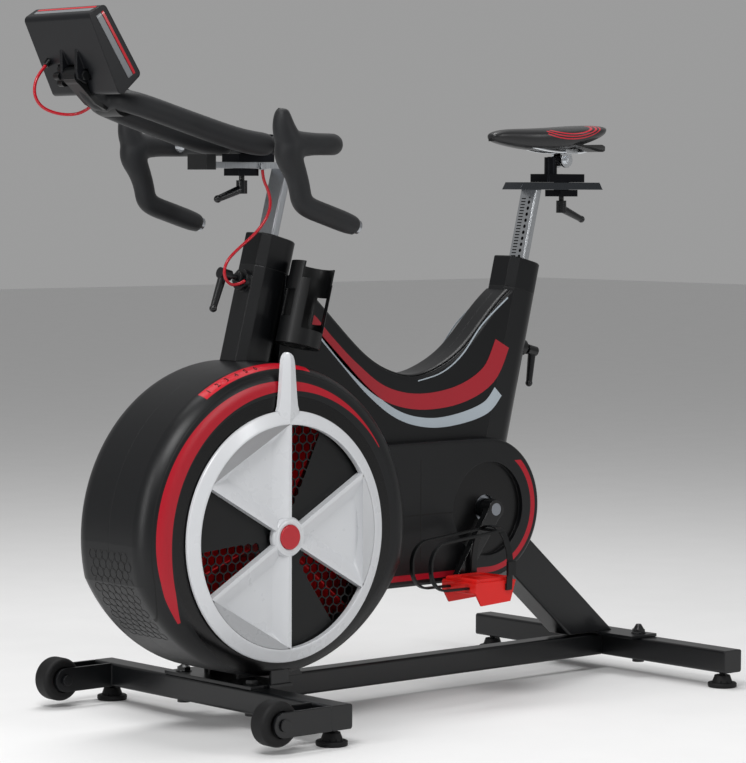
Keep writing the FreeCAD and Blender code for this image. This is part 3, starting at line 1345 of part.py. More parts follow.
saddle_top_line = along_saddle([(0.0, 44), (0.12, 58), (0.35, 57), (0.55, 49), (0.75, 47), (0.92, 54), (1.0, 50)])
saddle_under = [(1.0, 22), (0.90, 12), (0.72, 20), (0.50, 33), (0.20, 33), (0.0, 30)]
saddle_cushion = saddle_plan(0.0).common(saddle_side(saddle_top_line, along_saddle(saddle_under)))
base_top = along_saddle([(share, z - 0.3) for share, z in reversed(saddle_under)])
base_bottom = along_saddle([(share, z - 5.0) for share, z in saddle_under])
saddle_base = saddle_plan(9.0).common(saddle_side(base_top, base_bottom))

rail_bar_r = 3.5
rail_low_z = saddle_pivot_z + 6.0


def saddle_rail(side):
    """One steel wire rail from the saddle's nose to its tail."""
    y = side * 22.0
    points = [(saddle_x + 138, side * 9, saddle_pivot_z + 26), (saddle_x + 118, side * 12, saddle_pivot_z + 20),
              (saddle_x + 50, y - side * 2, rail_low_z + 1), (saddle_x - 30, y, rail_low_z),
              (saddle_x - 52, y, saddle_pivot_z + 11)]
    return tube_along(points, rail_bar_r)


saddle_rails = group([saddle_rail(1), saddle_rail(-1)])


def saddle_clamp_piece():
    """The clamp that grips both rails and hinges on the slider's eye."""
    x, z = saddle_hinge
    cheeks = []
    for side in (-1, 1):
        low, high = sorted((side * 9.6, side * 15.0))
        cheeks.append(rod_y(x, z, 15.0, low, high))
        cheeks.append(block((x - 12, x + 12), (low, high), (z, rail_low_z + 2)))
    bolt = rod_y(x, z, 4.0, -22, 22)
    nut = rod_y(x, z, 8.0, 15.0, 20.0)
    head = rod_y(x, z, 8.0, -20.0, -15.0)
    bridge = block((x - 16, x + 16), (-28, 28), (rail_low_z - 3, rail_low_z + 6))
    clamp = fused(cheeks + [bolt, nut, head, bridge])
    for side in (-1, 1):
        clamp = clamp.cut(saddle_rail(side))
    return clamp


saddle_clamp = saddle_clamp_piece()
saddle_base = saddle_base.cut(saddle_rails)
saddle_cushion = saddle_cushion.cut(saddle_rails)

# ---------------------------------------------------------------- cables
bar_cable_route = [(531, 28, 992.6), (529, 27, 976), (516, 27, 955), (510, 27, 930), (520, 25, 903), (545, 22, 876),
                   (580, 20, 852), (606, 18.5, 830), (612, 17.5, 806), (598, 17, 787), (576, 17, 788),
                   (563.2, 17, 794)]
monitor_cable_route = [(934, -70, 1168.7), (945, -69, 1158), (958, -67, 1141), (961, -66, 1118), (949, -64, 1098),
                       (924, -58, 1087), (898, -45, 1084), (880, -31, 1090), (872, -19.5, 1101)]


bar_cable = tube_along(bar_cable_route, cable_r)
monitor_cable = tube_along(monitor_cable_route, cable_r)
report_cable("bar_cable", bar_cable_route, cable_r)
report_cable("monitor_cable", monitor_cable_route, cable_r)
monitor_plug = rod(plug_at, plug_dir, plug_r, math.dist(plug_at, monitor_cable_route[0]) - 0.3)

# ---------------------------------------------------------------- the finished pieces
feet = {}
for end, x, length in (("front", front_stabiliser_x, front_stabiliser_long),
                       ("rear", rear_stabiliser_x, rear_stabiliser_long)):
    for side, sign in (("left", 1), ("right", -1)):
        feet[end + "_" + side + "_foot"] = levelling_foot(x, sign * (length / 2 - foot_inset))

nodes = {
    "base_beam": base_beam, "front_stabiliser": front_stabiliser, "rear_stabiliser": rear_stabiliser,
    "rear_strut": rear_strut, "frame_spine": frame_spine, "head_tube": head_tube, "seat_tube": seat_tube,
    "tube_collars": tube_collars, "left_frame_cover": left_frame_cover, "right_frame_cover": right_frame_cover,
    "left_chain_case": left_chain_case, "right_chain_case": right_chain_case, "bottom_bracket": bottom_bracket,
    "left_fan_housing": left_fan_housing, "right_fan_housing": right_fan_housing, "vent_grilles": vent_grilles,
    "fan_axle": fan_axle, "bottle_cage": bottle_cage, "frame_bolts": group(frame_bolts), "chain": chain,
    "crank_axle": crank_axle, "left_crank": left_crank, "right_crank": right_crank, "chainring": chainring,
    "left_pedal": left_pedal, "left_toe_clip": left_toe_clip, "right_pedal": right_pedal,
    "right_toe_clip": right_toe_clip, "fan_wheel": fan_wheel, "fan_sprocket": fan_sprocket,
    "air_disc": air_disc, "air_disc_cap": air_disc_cap, "left_transport_wheel": transport_wheel(1),
    "right_transport_wheel": transport_wheel(-1), "bar_post": bar_post, "bar_height_lever": bar_height_lever,
    "bar_slide_lever": bar_slide_lever, "seat_height_lever": seat_height_lever,
    "seat_slide_lever": seat_slide_lever, "bar_slider": bar_slider, "handlebar_tube": handlebar_tube,
    "bar_foam": bar_foam, "aero_bars": aero_bars, "monitor_riser": monitor_riser, "monitor_case": monitor_case,
    "monitor_screen": monitor_screen, "monitor_knob": monitor_knob, "seat_post": seat_post,
    "saddle_slider": saddle_slider, "saddle_cushion": saddle_cushion, "saddle_base": saddle_base,
    "saddle_rails": saddle_rails, "saddle_clamp": saddle_clamp, "bar_cable": bar_cable,
    "monitor_cable": monitor_cable, "monitor_plug": monitor_plug,
}
nodes.update(feet)

loose_nodes = ("bar_cable", "monitor_cable", "monitor_plug")
bounds = FreeCAD.BoundBox()
for name, shape in nodes.items():
    if name not in loose_nodes:
        bounds.add(shape.optimalBoundingBox(False, False) if hasattr(shape, "optimalBoundingBox") else shape.BoundBox)
shift_x = -round((bounds.XMin + bounds.XMax) / 2, 1)
print("shift_x", shift_x, "box", [round(v, 1) for v in (bounds.XMin, bounds.XMax, bounds.YMin, bounds.YMax,
                                                     bounds.ZMin, bounds.ZMax)])
print("head_out", head_out, "seat_out", seat_out, "head_face", head_face, "seat_face", seat_face)
print("pedals", left_pedal_at, right_pedal_at, "saddle_hinge", saddle_hinge)
for name, shape in nodes.items():
    placed = shape.copy()
    placed.translate(Vec(shift_x, 0, 0))
    if not placed.isValid():
        print("not valid:", name)
    placed.exportStep("parts/" + name + ".step")
print(len(nodes), "nodes")
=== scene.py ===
import bmesh
import bpy
import math
from mathutils import Matrix, Vector


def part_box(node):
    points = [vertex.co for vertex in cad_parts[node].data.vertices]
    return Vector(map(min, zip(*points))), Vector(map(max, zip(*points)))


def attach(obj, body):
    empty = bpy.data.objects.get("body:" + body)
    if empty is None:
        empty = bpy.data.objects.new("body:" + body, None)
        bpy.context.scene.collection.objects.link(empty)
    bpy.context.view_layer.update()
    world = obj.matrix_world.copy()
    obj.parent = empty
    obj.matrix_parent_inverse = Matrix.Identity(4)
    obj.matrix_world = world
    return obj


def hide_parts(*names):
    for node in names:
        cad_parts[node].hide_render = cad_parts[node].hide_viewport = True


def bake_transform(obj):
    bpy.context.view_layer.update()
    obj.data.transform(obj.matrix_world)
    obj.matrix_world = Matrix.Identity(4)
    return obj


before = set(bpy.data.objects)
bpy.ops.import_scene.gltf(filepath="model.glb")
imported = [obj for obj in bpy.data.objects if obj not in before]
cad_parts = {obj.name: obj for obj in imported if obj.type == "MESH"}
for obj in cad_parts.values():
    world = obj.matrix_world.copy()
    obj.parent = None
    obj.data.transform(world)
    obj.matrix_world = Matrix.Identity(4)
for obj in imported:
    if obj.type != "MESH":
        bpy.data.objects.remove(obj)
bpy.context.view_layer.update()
bpy.ops.object.select_all(action="DESELECT")

# ---- where things are
# Every place below is counted from the crank's axle, which the frame gives.
axle_low, axle_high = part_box("crank_axle")
crank_x = (axle_low[0] + axle_high[0]) / 2


def at(x, y, z):
    """A point given in millimetres ahead of the crank, to the rider's left and above the floor."""
    return Vector((crank_x + x / 1000, y / 1000, z / 1000))


# ---- camera
# A long lens at saddle height, ahead and to the left of the machine.
camera = bpy.data.objects.new("camera", bpy.data.cameras.new("camera"))
bpy.context.scene.collection.objects.link(camera)
camera.location = at(4058.3, 4338.9, 959.2)
look = Vector((-0.65720, -0.74895, -0.08466))
roll = Matrix.Rotation(math.radians(0.21), 3, "Z")
camera.rotation_euler = (look.to_track_quat("-Z", "Y").to_matrix() @ roll).to_euler()
camera.data.sensor_width = 36
camera.data.lens = 146.1
camera.data.shift_x = 0.0057
camera.data.shift_y = 0.0923
camera.data.clip_end = 50
bpy.context.scene.camera = camera
bpy.context.scene.view_settings.view_transform = "Standard"

# ---- studio
# A pale seamless floor that runs off to a white surround, lit by large soft boxes.


def linear(hex_colour):
    """The colour of an sRGB hex value, as the shaders take it."""
    parts = [int(hex_colour[i:i + 2], 16) / 255 for i in (1, 3, 5)]
    return [c / 12.92 if c <= 0.04045 else ((c + 0.055) / 1.055) ** 2.4 for c in parts] + [1.0]


def scaled(hex_colour, share):
    """The same colour made lighter, or darker where the share is under one."""
    return [min(c * share, 1) for c in linear(hex_colour)[:3]] + [1]


def node(material, kind, inputs=None, **settings):
    """Adds one shader node; an input is a plain value, another node's output or its first one."""
    tree = material.node_tree
    new = tree.nodes.new("ShaderNode" + kind)
    for key, value in settings.items():
        setattr(new, key, value)
    for key, value in (inputs or {}).items():
        if isinstance(value, bpy.types.Node):
            value = value.outputs[0]
        if isinstance(value, bpy.types.NodeSocket):
            tree.links.new(value, new.inputs[key])
        else:
            new.inputs[key].default_value = value
    return new


def new_material(name):
    """An empty material, and the output that gives each point's place on its piece."""
    material = bpy.data.materials.new(name)
    material.use_nodes = True
    material.node_tree.nodes.clear()
    return material, node(material, "TexCoord").outputs["Object"]


def surface(material, shader):
    """Makes a shader the material's surface."""
    node(material, "OutputMaterial", {"Surface": shader})
    return material


# matt white paper sweep: no gloss, only a faint soft shadow
paper = new_material("white_paper_sweep")[0]
paper_fibre = node(paper, "TexNoise", {"Scale": 300.0, "Detail": 3.0})
paper_tone = node(paper, "MapRange", {"Value": paper_fibre.outputs["Fac"], "To Min": 0.80, "To Max": 0.84})
paper_shade = node(paper, "CombineColor", dict.fromkeys(("Red", "Green", "Blue"), paper_tone))
surface(paper, node(paper, "BsdfPrincipled", {"Base Color": paper_shade, "Roughness": 0.9}))
bpy.ops.mesh.primitive_plane_add(size=40, location=(0, 0, -0.0005))
floor = bpy.context.object
floor.name = "floor"
floor.data.materials.append(paper)

world = bpy.context.scene.world or bpy.data.worlds.new("world")
bpy.context.scene.world = world
world.use_nodes = True
world.node_tree.nodes["Background"].inputs["Color"].default_value = (1, 1, 1, 1)
world.node_tree.nodes["Background"].inputs["Strength"].default_value = 0.33


def soft_box(name, place, target, width, height, power):
    """A rectangular studio light that faces a point on the machine."""
    light = bpy.data.lights.new(name, "AREA")
    light.shape = "RECTANGLE"
    light.size = width
    light.size_y = height
    light.energy = power
    lamp = bpy.data.objects.new(name, light)
    bpy.context.scene.collection.objects.link(lamp)
    lamp.location = place
    lamp.rotation_euler = (Vector(target) - Vector(place)).to_track_quat("-Z", "Y").to_euler()


soft_box("key_light", (2.4, 1.6, 3.6), (0, 0, 0.6), 1.8, 1.2, 84)
soft_box("side_strip", (-1.6, 4.2, 2.4), (0, 0, 0.6), 0.5, 2.2, 38)
soft_box("front_strip", (3.8, 0.2, 1.6), (0.2, 0, 0.5), 0.4, 2.6, 34)
soft_box("top_light", (0.0, -0.8, 3.8), (0, 0, 0.5), 2.6, 1.2, 70)

# ---- cables
# Two thin data leads with a glossy red PVC sheath. The lower one hangs from the slide under
# the handlebar and enters the head tube low down; the upper one loops from its plug behind
# the monitor back into the riser.


def red_pvc():
    """Extruded PVC sheath: saturated red, smooth, with a clear highlight along its length."""
    material, place = new_material("red_pvc_sheath")
    # the extrusion leaves shallow waves about 4 mm long
    waves = node(material, "TexNoise", {"Vector": place, "Scale": 250.0, "Detail": 2.0})
    bump = node(material, "Bump", {"Height": waves.outputs["Fac"], "Strength": 0.08, "Distance": 0.0004})
    tone = node(material, "MixRGB", {"Fac": waves.outputs["Fac"], "Color1": linear("#9E0B1B"),
                                               "Color2": linear("#B80F22")})
    return surface(material, node(material, "BsdfPrincipled", {
        "Base Color": tone, "Roughness": 0.24, "Normal": bump}))


sheath = red_pvc()


def smooth_curve(name, points, steps):
    """A curve of one open spline led by (place, share of the thickness) points."""
    curve = bpy.data.curves.new(name, "CURVE")
    curve.dimensions = "3D"
    curve.resolution_u = steps
    spline = curve.splines.new("NURBS")
    spline.points.add(len(points) - 1)
    for control, (place, share) in zip(spline.points, points):
        control.co = (*place, 1.0)
        control.radius = share
    spline.order_u = 3
    spline.use_endpoint_u = True
    piece = bpy.data.objects.new(name, curve)
    bpy.context.scene.collection.objects.link(piece)
    return piece


def select(*pieces):
    """Selects only these pieces; the first is the active one."""
    bpy.ops.object.select_all(action="DESELECT")
    for piece in pieces:
        piece.select_set(True)
    bpy.context.view_layer.objects.active = pieces[0]


def thicken(piece, radius, smoothness):
    """Makes a curve a round tube with closed ends, as a mesh."""
    piece.data.bevel_depth = radius
    piece.data.bevel_resolution = smoothness
    piece.data.use_fill_caps = True
    select(piece)
    bpy.ops.object.convert(target="MESH")


def lead(name, points, diameter):
    """A cable as a mesh, led by its control points; gives the piece and its line."""
    piece = smooth_curve(name, [(point, 1.0) for point in points], 12)
    line = bpy.data.meshes.new_from_object(piece.evaluated_get(bpy.context.evaluated_depsgraph_get()))
    path = [tuple(v.co) for v in line.vertices]
    thicken(piece, diameter / 2, 5)
    bpy.ops.object.shade_smooth()
    piece.data.materials.append(sheath)
    return piece, path


lead_diameter = 0.0056
bar_lead, bar_line = lead("bar_cable_lead", [
    at(531, 28, 992.6), at(529, 27, 976), at(516, 27, 955), at(510, 27, 930), at(520, 25, 903),
    at(545, 22, 876), at(580, 20, 852), at(606, 18.5, 830), at(612, 17.5, 806), at(598, 17, 787),
    at(576, 17, 788), at(563.2, 17, 794)],
    lead_diameter)
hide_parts("bar_cable")
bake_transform(bar_lead)

monitor_lead, monitor_line = lead("monitor_cable_lead", [
    at(934, -70, 1168.7), at(945, -69, 1158), at(958, -67, 1141), at(961, -66, 1118), at(949, -64, 1098),
    at(924, -58, 1087), at(898, -45, 1084), at(880, -31, 1090), at(872, -19.5, 1101)], lead_diameter)
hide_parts("monitor_cable")
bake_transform(monitor_lead)


# ---- welded steel base and masts
# The base, the strut and the two masts are rectangular steel tube, welded and powder coated black.
# The cross tubes carry pressed end plugs, and dome-headed bolts hold them to the long beam.


def finish_cad(material, *names):
    """Gives CAD pieces their finish."""
    for name in names:
        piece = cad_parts[name]
        if not piece.material_slots:
            piece.data.materials.append(material)
        for place in piece.material_slots:
            place.material = material


def powder_coat(name, colour, low, high):
    """Powder coat baked on steel: half gloss with a fine orange peel and softly rounded edges."""
    material, place = new_material(name)
    # tube corners are rounded to about 3 mm
    corner = node(material, "Bevel", {"Radius": 0.003}, samples=4)
    # the peel is about 2.5 mm from crest to crest
    peel = node(material, "TexNoise", {"Vector": place, "Scale": 400.0, "Detail": 2.0})
    wear = node(material, "TexNoise", {"Vector": place, "Scale": 6.0, "Detail": 5.0})
    rough = node(material, "MapRange", {"Value": wear.outputs["Fac"], "To Min": low, "To Max": high})
    bump = node(material, "Bump", {"Height": peel.outputs["Fac"], "Strength": 0.12, "Distance": 0.0005,
                                             "Normal": corner})
    tone = node(material, "MixRGB", {"Fac": wear.outputs["Fac"], "Color1": linear(colour),
                                               "Color2": scaled(colour, 1.5)})
    return surface(material, node(material, "BsdfPrincipled", {
        "Base Color": tone, "Roughness": rough, "Specular IOR Level": 0.35,
        "Coat Weight": 0.15, "Coat Roughness": 0.15, "Normal": bump}))


def machined_steel(name, colour, roughness, grain, tilt=0.0):
    """Drawn or ground steel: fine lines along its length stretch the highlight across it."""
    material, place = new_material(name)
    turned = node(material, "Mapping", {"Vector": place, "Rotation": (0, tilt, 0),
                                                  "Scale": grain}, vector_type="POINT")
    lines = node(material, "TexNoise", {"Vector": turned, "Scale": 1.0, "Detail": 3.0})
    corner = node(material, "Bevel", {"Radius": 0.0012}, samples=4)
    rough = node(material, "MapRange", {"Value": lines.outputs["Fac"], "To Min": roughness - 0.07,
                                                  "To Max": roughness + 0.12})
    tone = node(material, "MixRGB", {"Fac": lines.outputs["Fac"], "Color1": linear(colour),
                                               "Color2": scaled(colour, 1.25)})
    bump = node(material, "Bump", {"Height": lines.outputs["Fac"], "Strength": 0.08, "Distance": 0.0003,
                                             "Normal": corner})
    return surface(material, node(material, "BsdfPrincipled", {
        "Base Color": tone, "Metallic": 1.0, "Roughness": rough, "Normal": bump}))


frame_coat = powder_coat("satin_black_powder_coat", "#08090B", 0.24, 0.38)
zinc_steel = machined_steel("zinc_plated_bolt_steel", "#8C9096", 0.30, (700, 700, 700))
finish_cad(frame_coat, "base_beam", "front_stabiliser", "rear_stabiliser", "rear_strut", "head_tube",
           "seat_tube", "frame_spine", "frame_bolts", "bottom_bracket")

# ---- moulded covers
# The covers over the spine, the chain case, the collars and the fan housing are black ABS
# shells with a fine spark-eroded grain, screwed together on the middle plane.


def grained_plastic(name, colour, roughness, grain_mm, depth, edge_mm=1.2):
    """Spark-eroded mould grain on ABS or nylon: a fine pebble that softens the highlight."""
    material, place = new_material(name)
    corner = node(material, "Bevel", {"Radius": edge_mm / 1000}, samples=4)
    grain = node(material, "TexVoronoi", {"Vector": place, "Scale": 1000 / grain_mm})
    cloud = node(material, "TexNoise", {"Vector": place, "Scale": 9.0, "Detail": 4.0})
    rough = node(material, "MapRange", {"Value": cloud.outputs["Fac"], "To Min": roughness - 0.05,
                                                  "To Max": roughness + 0.07})
    bump = node(material, "Bump", {"Height": grain.outputs["Distance"], "Strength": depth,
                                             "Distance": 0.0004, "Normal": corner})
    shade = node(material, "MixRGB", {"Fac": cloud.outputs["Fac"], "Color1": linear(colour),
                                                "Color2": scaled(colour, 1.35)})
    return surface(material, node(material, "BsdfPrincipled", {
        "Base Color": shade, "Roughness": rough, "Specular IOR Level": 0.3,
        "Normal": bump}))


cover_plastic = grained_plastic("black_abs_fine_grain", "#07080A", 0.34, 0.9, 0.10, 2.0)
dark_plastic = grained_plastic("black_glass_filled_nylon", "#08090A", 0.38, 1.2, 0.08)
finish_cad(cover_plastic, "left_frame_cover", "right_frame_cover", "tube_collars")
finish_cad(dark_plastic, "bottle_cage", "monitor_riser", "monitor_plug", "vent_grilles", "saddle_base")

# ---- stripes on the covers
# Cut vinyl bands laid on both frame covers: a wide red one above a silver-grey one, both
# narrow at the head tube and wide at the seat tube, and a hairline along the top edge.


def vinyl(name, colour):
    """Cast vinyl film: even colour, half gloss, with the plastic's grain faintly through it."""
    material, place = new_material(name)
    grain = node(material, "TexNoise", {"Vector": place, "Scale": 900.0, "Detail": 2.0})
    bump = node(material, "Bump", {"Height": grain.outputs["Fac"], "Strength": 0.06, "Distance": 0.0003})
    cloud = node(material, "TexNoise", {"Vector": place, "Scale": 14.0, "Detail": 3.0})
    tone = node(material, "MixRGB", {"Fac": cloud.outputs["Fac"], "Color1": linear(colour),
                                               "Color2": scaled(colour, 0.86)})
    rough = node(material, "MapRange", {"Value": cloud.outputs["Fac"], "To Min": 0.30, "To Max": 0.40})
    return surface(material, node(material, "BsdfPrincipled", {
        "Base Color": tone, "Roughness": rough, "Normal": bump}))


red_vinyl = vinyl("red_cast_vinyl", "#A50F22")
silver_vinyl = vinyl("silver_grey_cast_vinyl", "#AEB8C0")


def loft(name, rings, ends="cap", closed=True):
    """A skin drawn through rings (or open rows) of points by extruding one into the next."""
    bpy.ops.object.select_all(action="DESELECT")
    bpy.ops.mesh.primitive_circle_add(vertices=len(rings[0]), fill_type="NOTHING")
    piece = bpy.context.object
    piece.name = name
    bpy.ops.object.mode_set(mode="EDIT")
    shape = bmesh.from_edit_mesh(piece.data)
    shape.verts.ensure_lookup_table()
    for vert, place in zip(shape.verts, rings[0]):
        vert.co = place
    if not closed:
        shape.edges.remove(shape.edges.get((shape.verts[0], shape.verts[-1])))
    for old, new in zip(rings, rings[1:]):
        bpy.ops.mesh.extrude_region_move()
        shape = bmesh.from_edit_mesh(piece.data)
        for vert in shape.verts:
            if vert.select:
                vert.co = new[min(range(len(old)), key=lambda i: (old[i] - vert.co).length_squared)]
    bmesh.update_edit_mesh(piece.data)
    bpy.ops.mesh.select_all(action="SELECT")
    if ends == "cap":
        bpy.ops.mesh.fill_holes(sides=0)
    if ends == "join":
        bpy.ops.mesh.remove_doubles(threshold=0.00002)
    bpy.ops.mesh.normals_make_consistent(inside=False)
    bpy.ops.object.mode_set(mode="OBJECT")
    bpy.ops.object.shade_smooth()
    return piece


def modify(piece, kind, **settings):
    """Adds a modifier and applies it."""
    bpy.context.view_layer.objects.active = piece
    change = piece.modifiers.new(kind.lower(), kind)
    for key, value in settings.items():
        setattr(change, key, value)
    bpy.ops.object.modifier_apply(modifier=change.name)


def smooth_line(points, steps):
    """Points along a smooth line through the given (x, z, width) stations."""
    found = []
    for i in range(len(points) - 1):
        four = [points[max(i - 1, 0)], points[i], points[i + 1], points[min(i + 2, len(points) - 1)]]
        for step in range(steps):
            t = step / steps
            found.append([0.5 * (2 * b + (c - a) * t + (2 * a - 5 * b + 4 * c - d) * t * t
                                 + (3 * b - a - 3 * c + d) * t ** 3) for a, b, c, d in zip(*four)])
    return found + [list(points[-1])]


def band(name, stations, side, finish, thick=0.35):
    """A flat vinyl band on one cover, thick enough to show its cut edge."""
    line = smooth_line(stations, 6)
    face = 36.1 * side
    rows = []
    for i, (x, z, width) in enumerate(line):
        before, after = line[max(i - 1, 0)], line[min(i + 1, len(line) - 1)]
        along = Vector((after[0] - before[0], after[1] - before[1])).normalized()
        off = Vector((-along.y, along.x)) * width / 2
        rows.append([at(x + off.x, face, z + off.y), at(x - off.x, face, z - off.y),
                     at(x - off.x, face + thick * side, z - off.y),
                     at(x + off.x, face + thick * side, z + off.y)])
    piece = loft(name, rows)
    bpy.ops.object.shade_smooth_by_angle(angle=math.radians(30))
    piece.data.materials.append(finish)
    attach(piece, "frame")


# (x, z, width)
red_stations = [(440, 735, 12), (417, 721, 16), (381, 684, 19), (320, 630, 23), (246, 581, 26),
                (158, 561, 30), (56, 570, 35), (-22, 605, 40), (-58, 664, 40)]
silver_stations = [(430, 714, 6), (419, 707, 7), (357, 650, 9), (283, 584, 12), (209, 538, 15),
                   (132, 520, 18), (55, 524, 21), (-15, 542, 24), (-48, 572, 25)]
hairline_stations = [(-72, 752, 3), (-5, 702, 3), (47, 646, 3), (99, 614, 2.5), (160, 600, 2)]
for side, word in ((1, "left"), (-1, "right")):
    band(word + "_red_band", red_stations, side, red_vinyl)
    band(word + "_silver_band", silver_stations, side, silver_vinyl)
    band(word + "_top_hairline", hairline_stations, side, silver_vinyl)

# ---- fan housing
# Two black ABS shells round the fan. A red crescent is printed on the left rim, with a smooth
# band inside it that the air disc's edge sweeps over and a joint line outside it.
hub = (573.6, 345.0)
crescent_r = 0.267
crescent_half = 0.0162


def around(material, place, x, z):
    """How far a place is from a line that runs across the machine, in metres."""
    flat = node(material, "VectorMath", {0: place, 1: (1, 0, 1)}, operation="MULTIPLY")
    centre = at(x, 0, z)
    return node(material, "VectorMath", {0: flat, 1: (centre.x, 0, centre.z)},
                operation="DISTANCE").outputs["Value"]


def within(material, value, low, high, soft=0.0005):
    """One where the value lies between two limits, zero elsewhere, with a clean edge."""
    above = node(material, "MapRange", {"Value": value, "From Min": low - soft, "From Max": low + soft})
    below = node(material, "MapRange", {"Value": value, "From Min": high - soft, "From Max": high + soft,
                                                  "To Min": 1.0, "To Max": 0.0})
    return node(material, "Math", {0: above, 1: below},
                operation="MULTIPLY")


def both(material, *masks):
    """Where all masks hold."""
    found = masks[0]
    for mask in masks[1:]:
        found = node(material, "Math", {0: found, 1: mask}, operation="MULTIPLY")
    return found


def printed_abs(name, colour, paint):
    """Grained black ABS with printed areas; paint gives (mask, colour, roughness, depth) rows."""
    material, place = new_material(name)
    corner = node(material, "Bevel", {"Radius": 0.002}, samples=4)
    grain = node(material, "TexVoronoi", {"Vector": place, "Scale": 1100.0})
    cloud = node(material, "TexNoise", {"Vector": place, "Scale": 7.0, "Detail": 4.0})
    tone = node(material, "MixRGB", {"Fac": cloud.outputs["Fac"], "Color1": linear(colour),
                                               "Color2": scaled(colour, 1.4)})
    rough = node(material, "MapRange", {"Value": cloud.outputs["Fac"], "To Min": 0.30,
                                                  "To Max": 0.42})
    height = grain.outputs["Distance"]
    for mask, ink, ink_rough, sunk in paint(material, place):
        tone = node(material, "MixRGB", {"Fac": mask, "Color1": tone, "Color2": linear(ink)})
        keep = node(material, "Math", {0: 1.0, 1: mask}, operation="SUBTRACT")
        kept = node(material, "Math", {0: rough, 1: keep}, operation="MULTIPLY")
        rough = node(material, "Math", {0: mask, 1: ink_rough, 2: kept},
                     operation="MULTIPLY_ADD")
        height = node(material, "Math", {0: mask, 1: -sunk, 2: height},
                      operation="MULTIPLY_ADD")
    bump = node(material, "Bump", {"Height": height, "Strength": 0.14, "Distance": 0.0005,
                                             "Normal": corner})
    return surface(material, node(material, "BsdfPrincipled", {
        "Base Color": tone, "Roughness": rough, "Specular IOR Level": 0.35, "Normal": bump}))


def housing_print(material, place):
    """A red crescent, widest at the front and pointed at both ends, a scale strip and a joint line."""
    parts = node(material, "SeparateXYZ", {"Vector": place})
    rim = within(material, parts.outputs["Y"], 0.118, 0.2)
    radius = around(material, place, *hub)
    centre = at(hub[0], 0, hub[1])
    ahead = node(material, "Math", {0: parts.outputs["X"], 1: centre.x}, operation="SUBTRACT")
    above = node(material, "Math", {0: parts.outputs["Z"], 1: centre.z}, operation="SUBTRACT")
    angle = node(material, "Math", {0: above, 1: ahead}, operation="ARCTAN2")
    along = node(material, "MapRange", {"Value": angle, "From Min": math.radians(-31),
                                                  "From Max": math.radians(147)})
    width = node(material, "ValToRGB", {"Fac": along})
    stops = width.color_ramp
    stops.interpolation = "B_SPLINE"
    stops.elements[0].color = (0, 0, 0, 1)
    stops.elements[1].color = (0, 0, 0, 1)
    for spot, share in ((0.07, 0.72), (0.17, 1.0), (0.30, 0.98), (0.45, 0.88), (0.65, 0.60), (0.85, 0.30)):
        stops.elements.new(spot).color = (share, share, share, 1)
    off_line = node(material, "Math", {0: radius, 1: crescent_r}, operation="SUBTRACT")
    off_line = node(material, "Math", {0: off_line}, operation="ABSOLUTE")
    spare = node(material, "Math", {0: width.outputs["Color"], 1: -crescent_half, 2: off_line},
                 operation="MULTIPLY_ADD")
    crescent = both(material, within(material, spare, -1, 0, 0.0003), rim,
                    within(material, along, 0.003, 0.997, 0.001))
    # the red scale strip lies where the drum turns into the rim, ahead of and behind the lever
    strip = both(material, within(material, radius, 0.290, 0.32),
                 within(material, parts.outputs["Y"], 0.107, 0.1265),
                 within(material, angle, math.radians(57), math.radians(104), 0.003))
    smooth_band = both(material, within(material, radius, 0.2, 0.250), rim)
    joint_line = both(material, within(material, radius, 0.2885, 0.2900, 0.0003),
                      within(material, parts.outputs["Y"], 0.1, 0.2))
    return [(smooth_band, "#050506", 0.22, 0.0), (crescent, "#A80F22", 0.30, 0.0),
            (joint_line, "#020202", 0.6, 3.0), (strip, "#C01326", 0.30, 0.0)]


housing_plastic = printed_abs("black_abs_housing_print", "#08090B", housing_print)
finish_cad(housing_plastic, "left_fan_housing", "right_fan_housing")


def scale_numeral(number, angle):
    """A raised numeral on the red scale, standing along the housing's rounded shoulder."""
    lean = math.radians(24)
    outward = Vector((math.cos(angle), 0, math.sin(angle)))
    along = Vector((-math.sin(angle), 0, math.cos(angle)))
    facing = outward * math.cos(lean) + Vector((0, 1, 0)) * math.sin(lean)
    upward = facing.cross(along)
    spot = at(hub[0], 101, hub[1]) + outward * 0.264 + facing * 0.0421
    bpy.ops.object.select_all(action="DESELECT")
    bpy.ops.object.text_add()
    numeral = bpy.context.object
    numeral.data.body = str(number)
    numeral.data.size = 0.015
    numeral.data.extrude = 0.0003
    numeral.data.align_x = "CENTER"
    numeral.data.align_y = "CENTER"
    bpy.ops.object.convert(target="MESH")
    turn = Matrix((along, upward, facing)).transposed().to_4x4()
    numeral.data.transform(Matrix.Translation(spot) @ turn)
    return numeral


def join(name, parts):
    """Makes several meshes one piece."""
    select(*parts)
    bpy.ops.object.join()
    parts[0].name = name
    return parts[0]


numerals = join("scale_numerals", [scale_numeral(1 + k, math.radians(60 + 4.2 * k)) for k in range(6)])
numerals.data.materials.clear()
numerals.data.materials.append(dark_plastic)
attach(numerals, "frame")


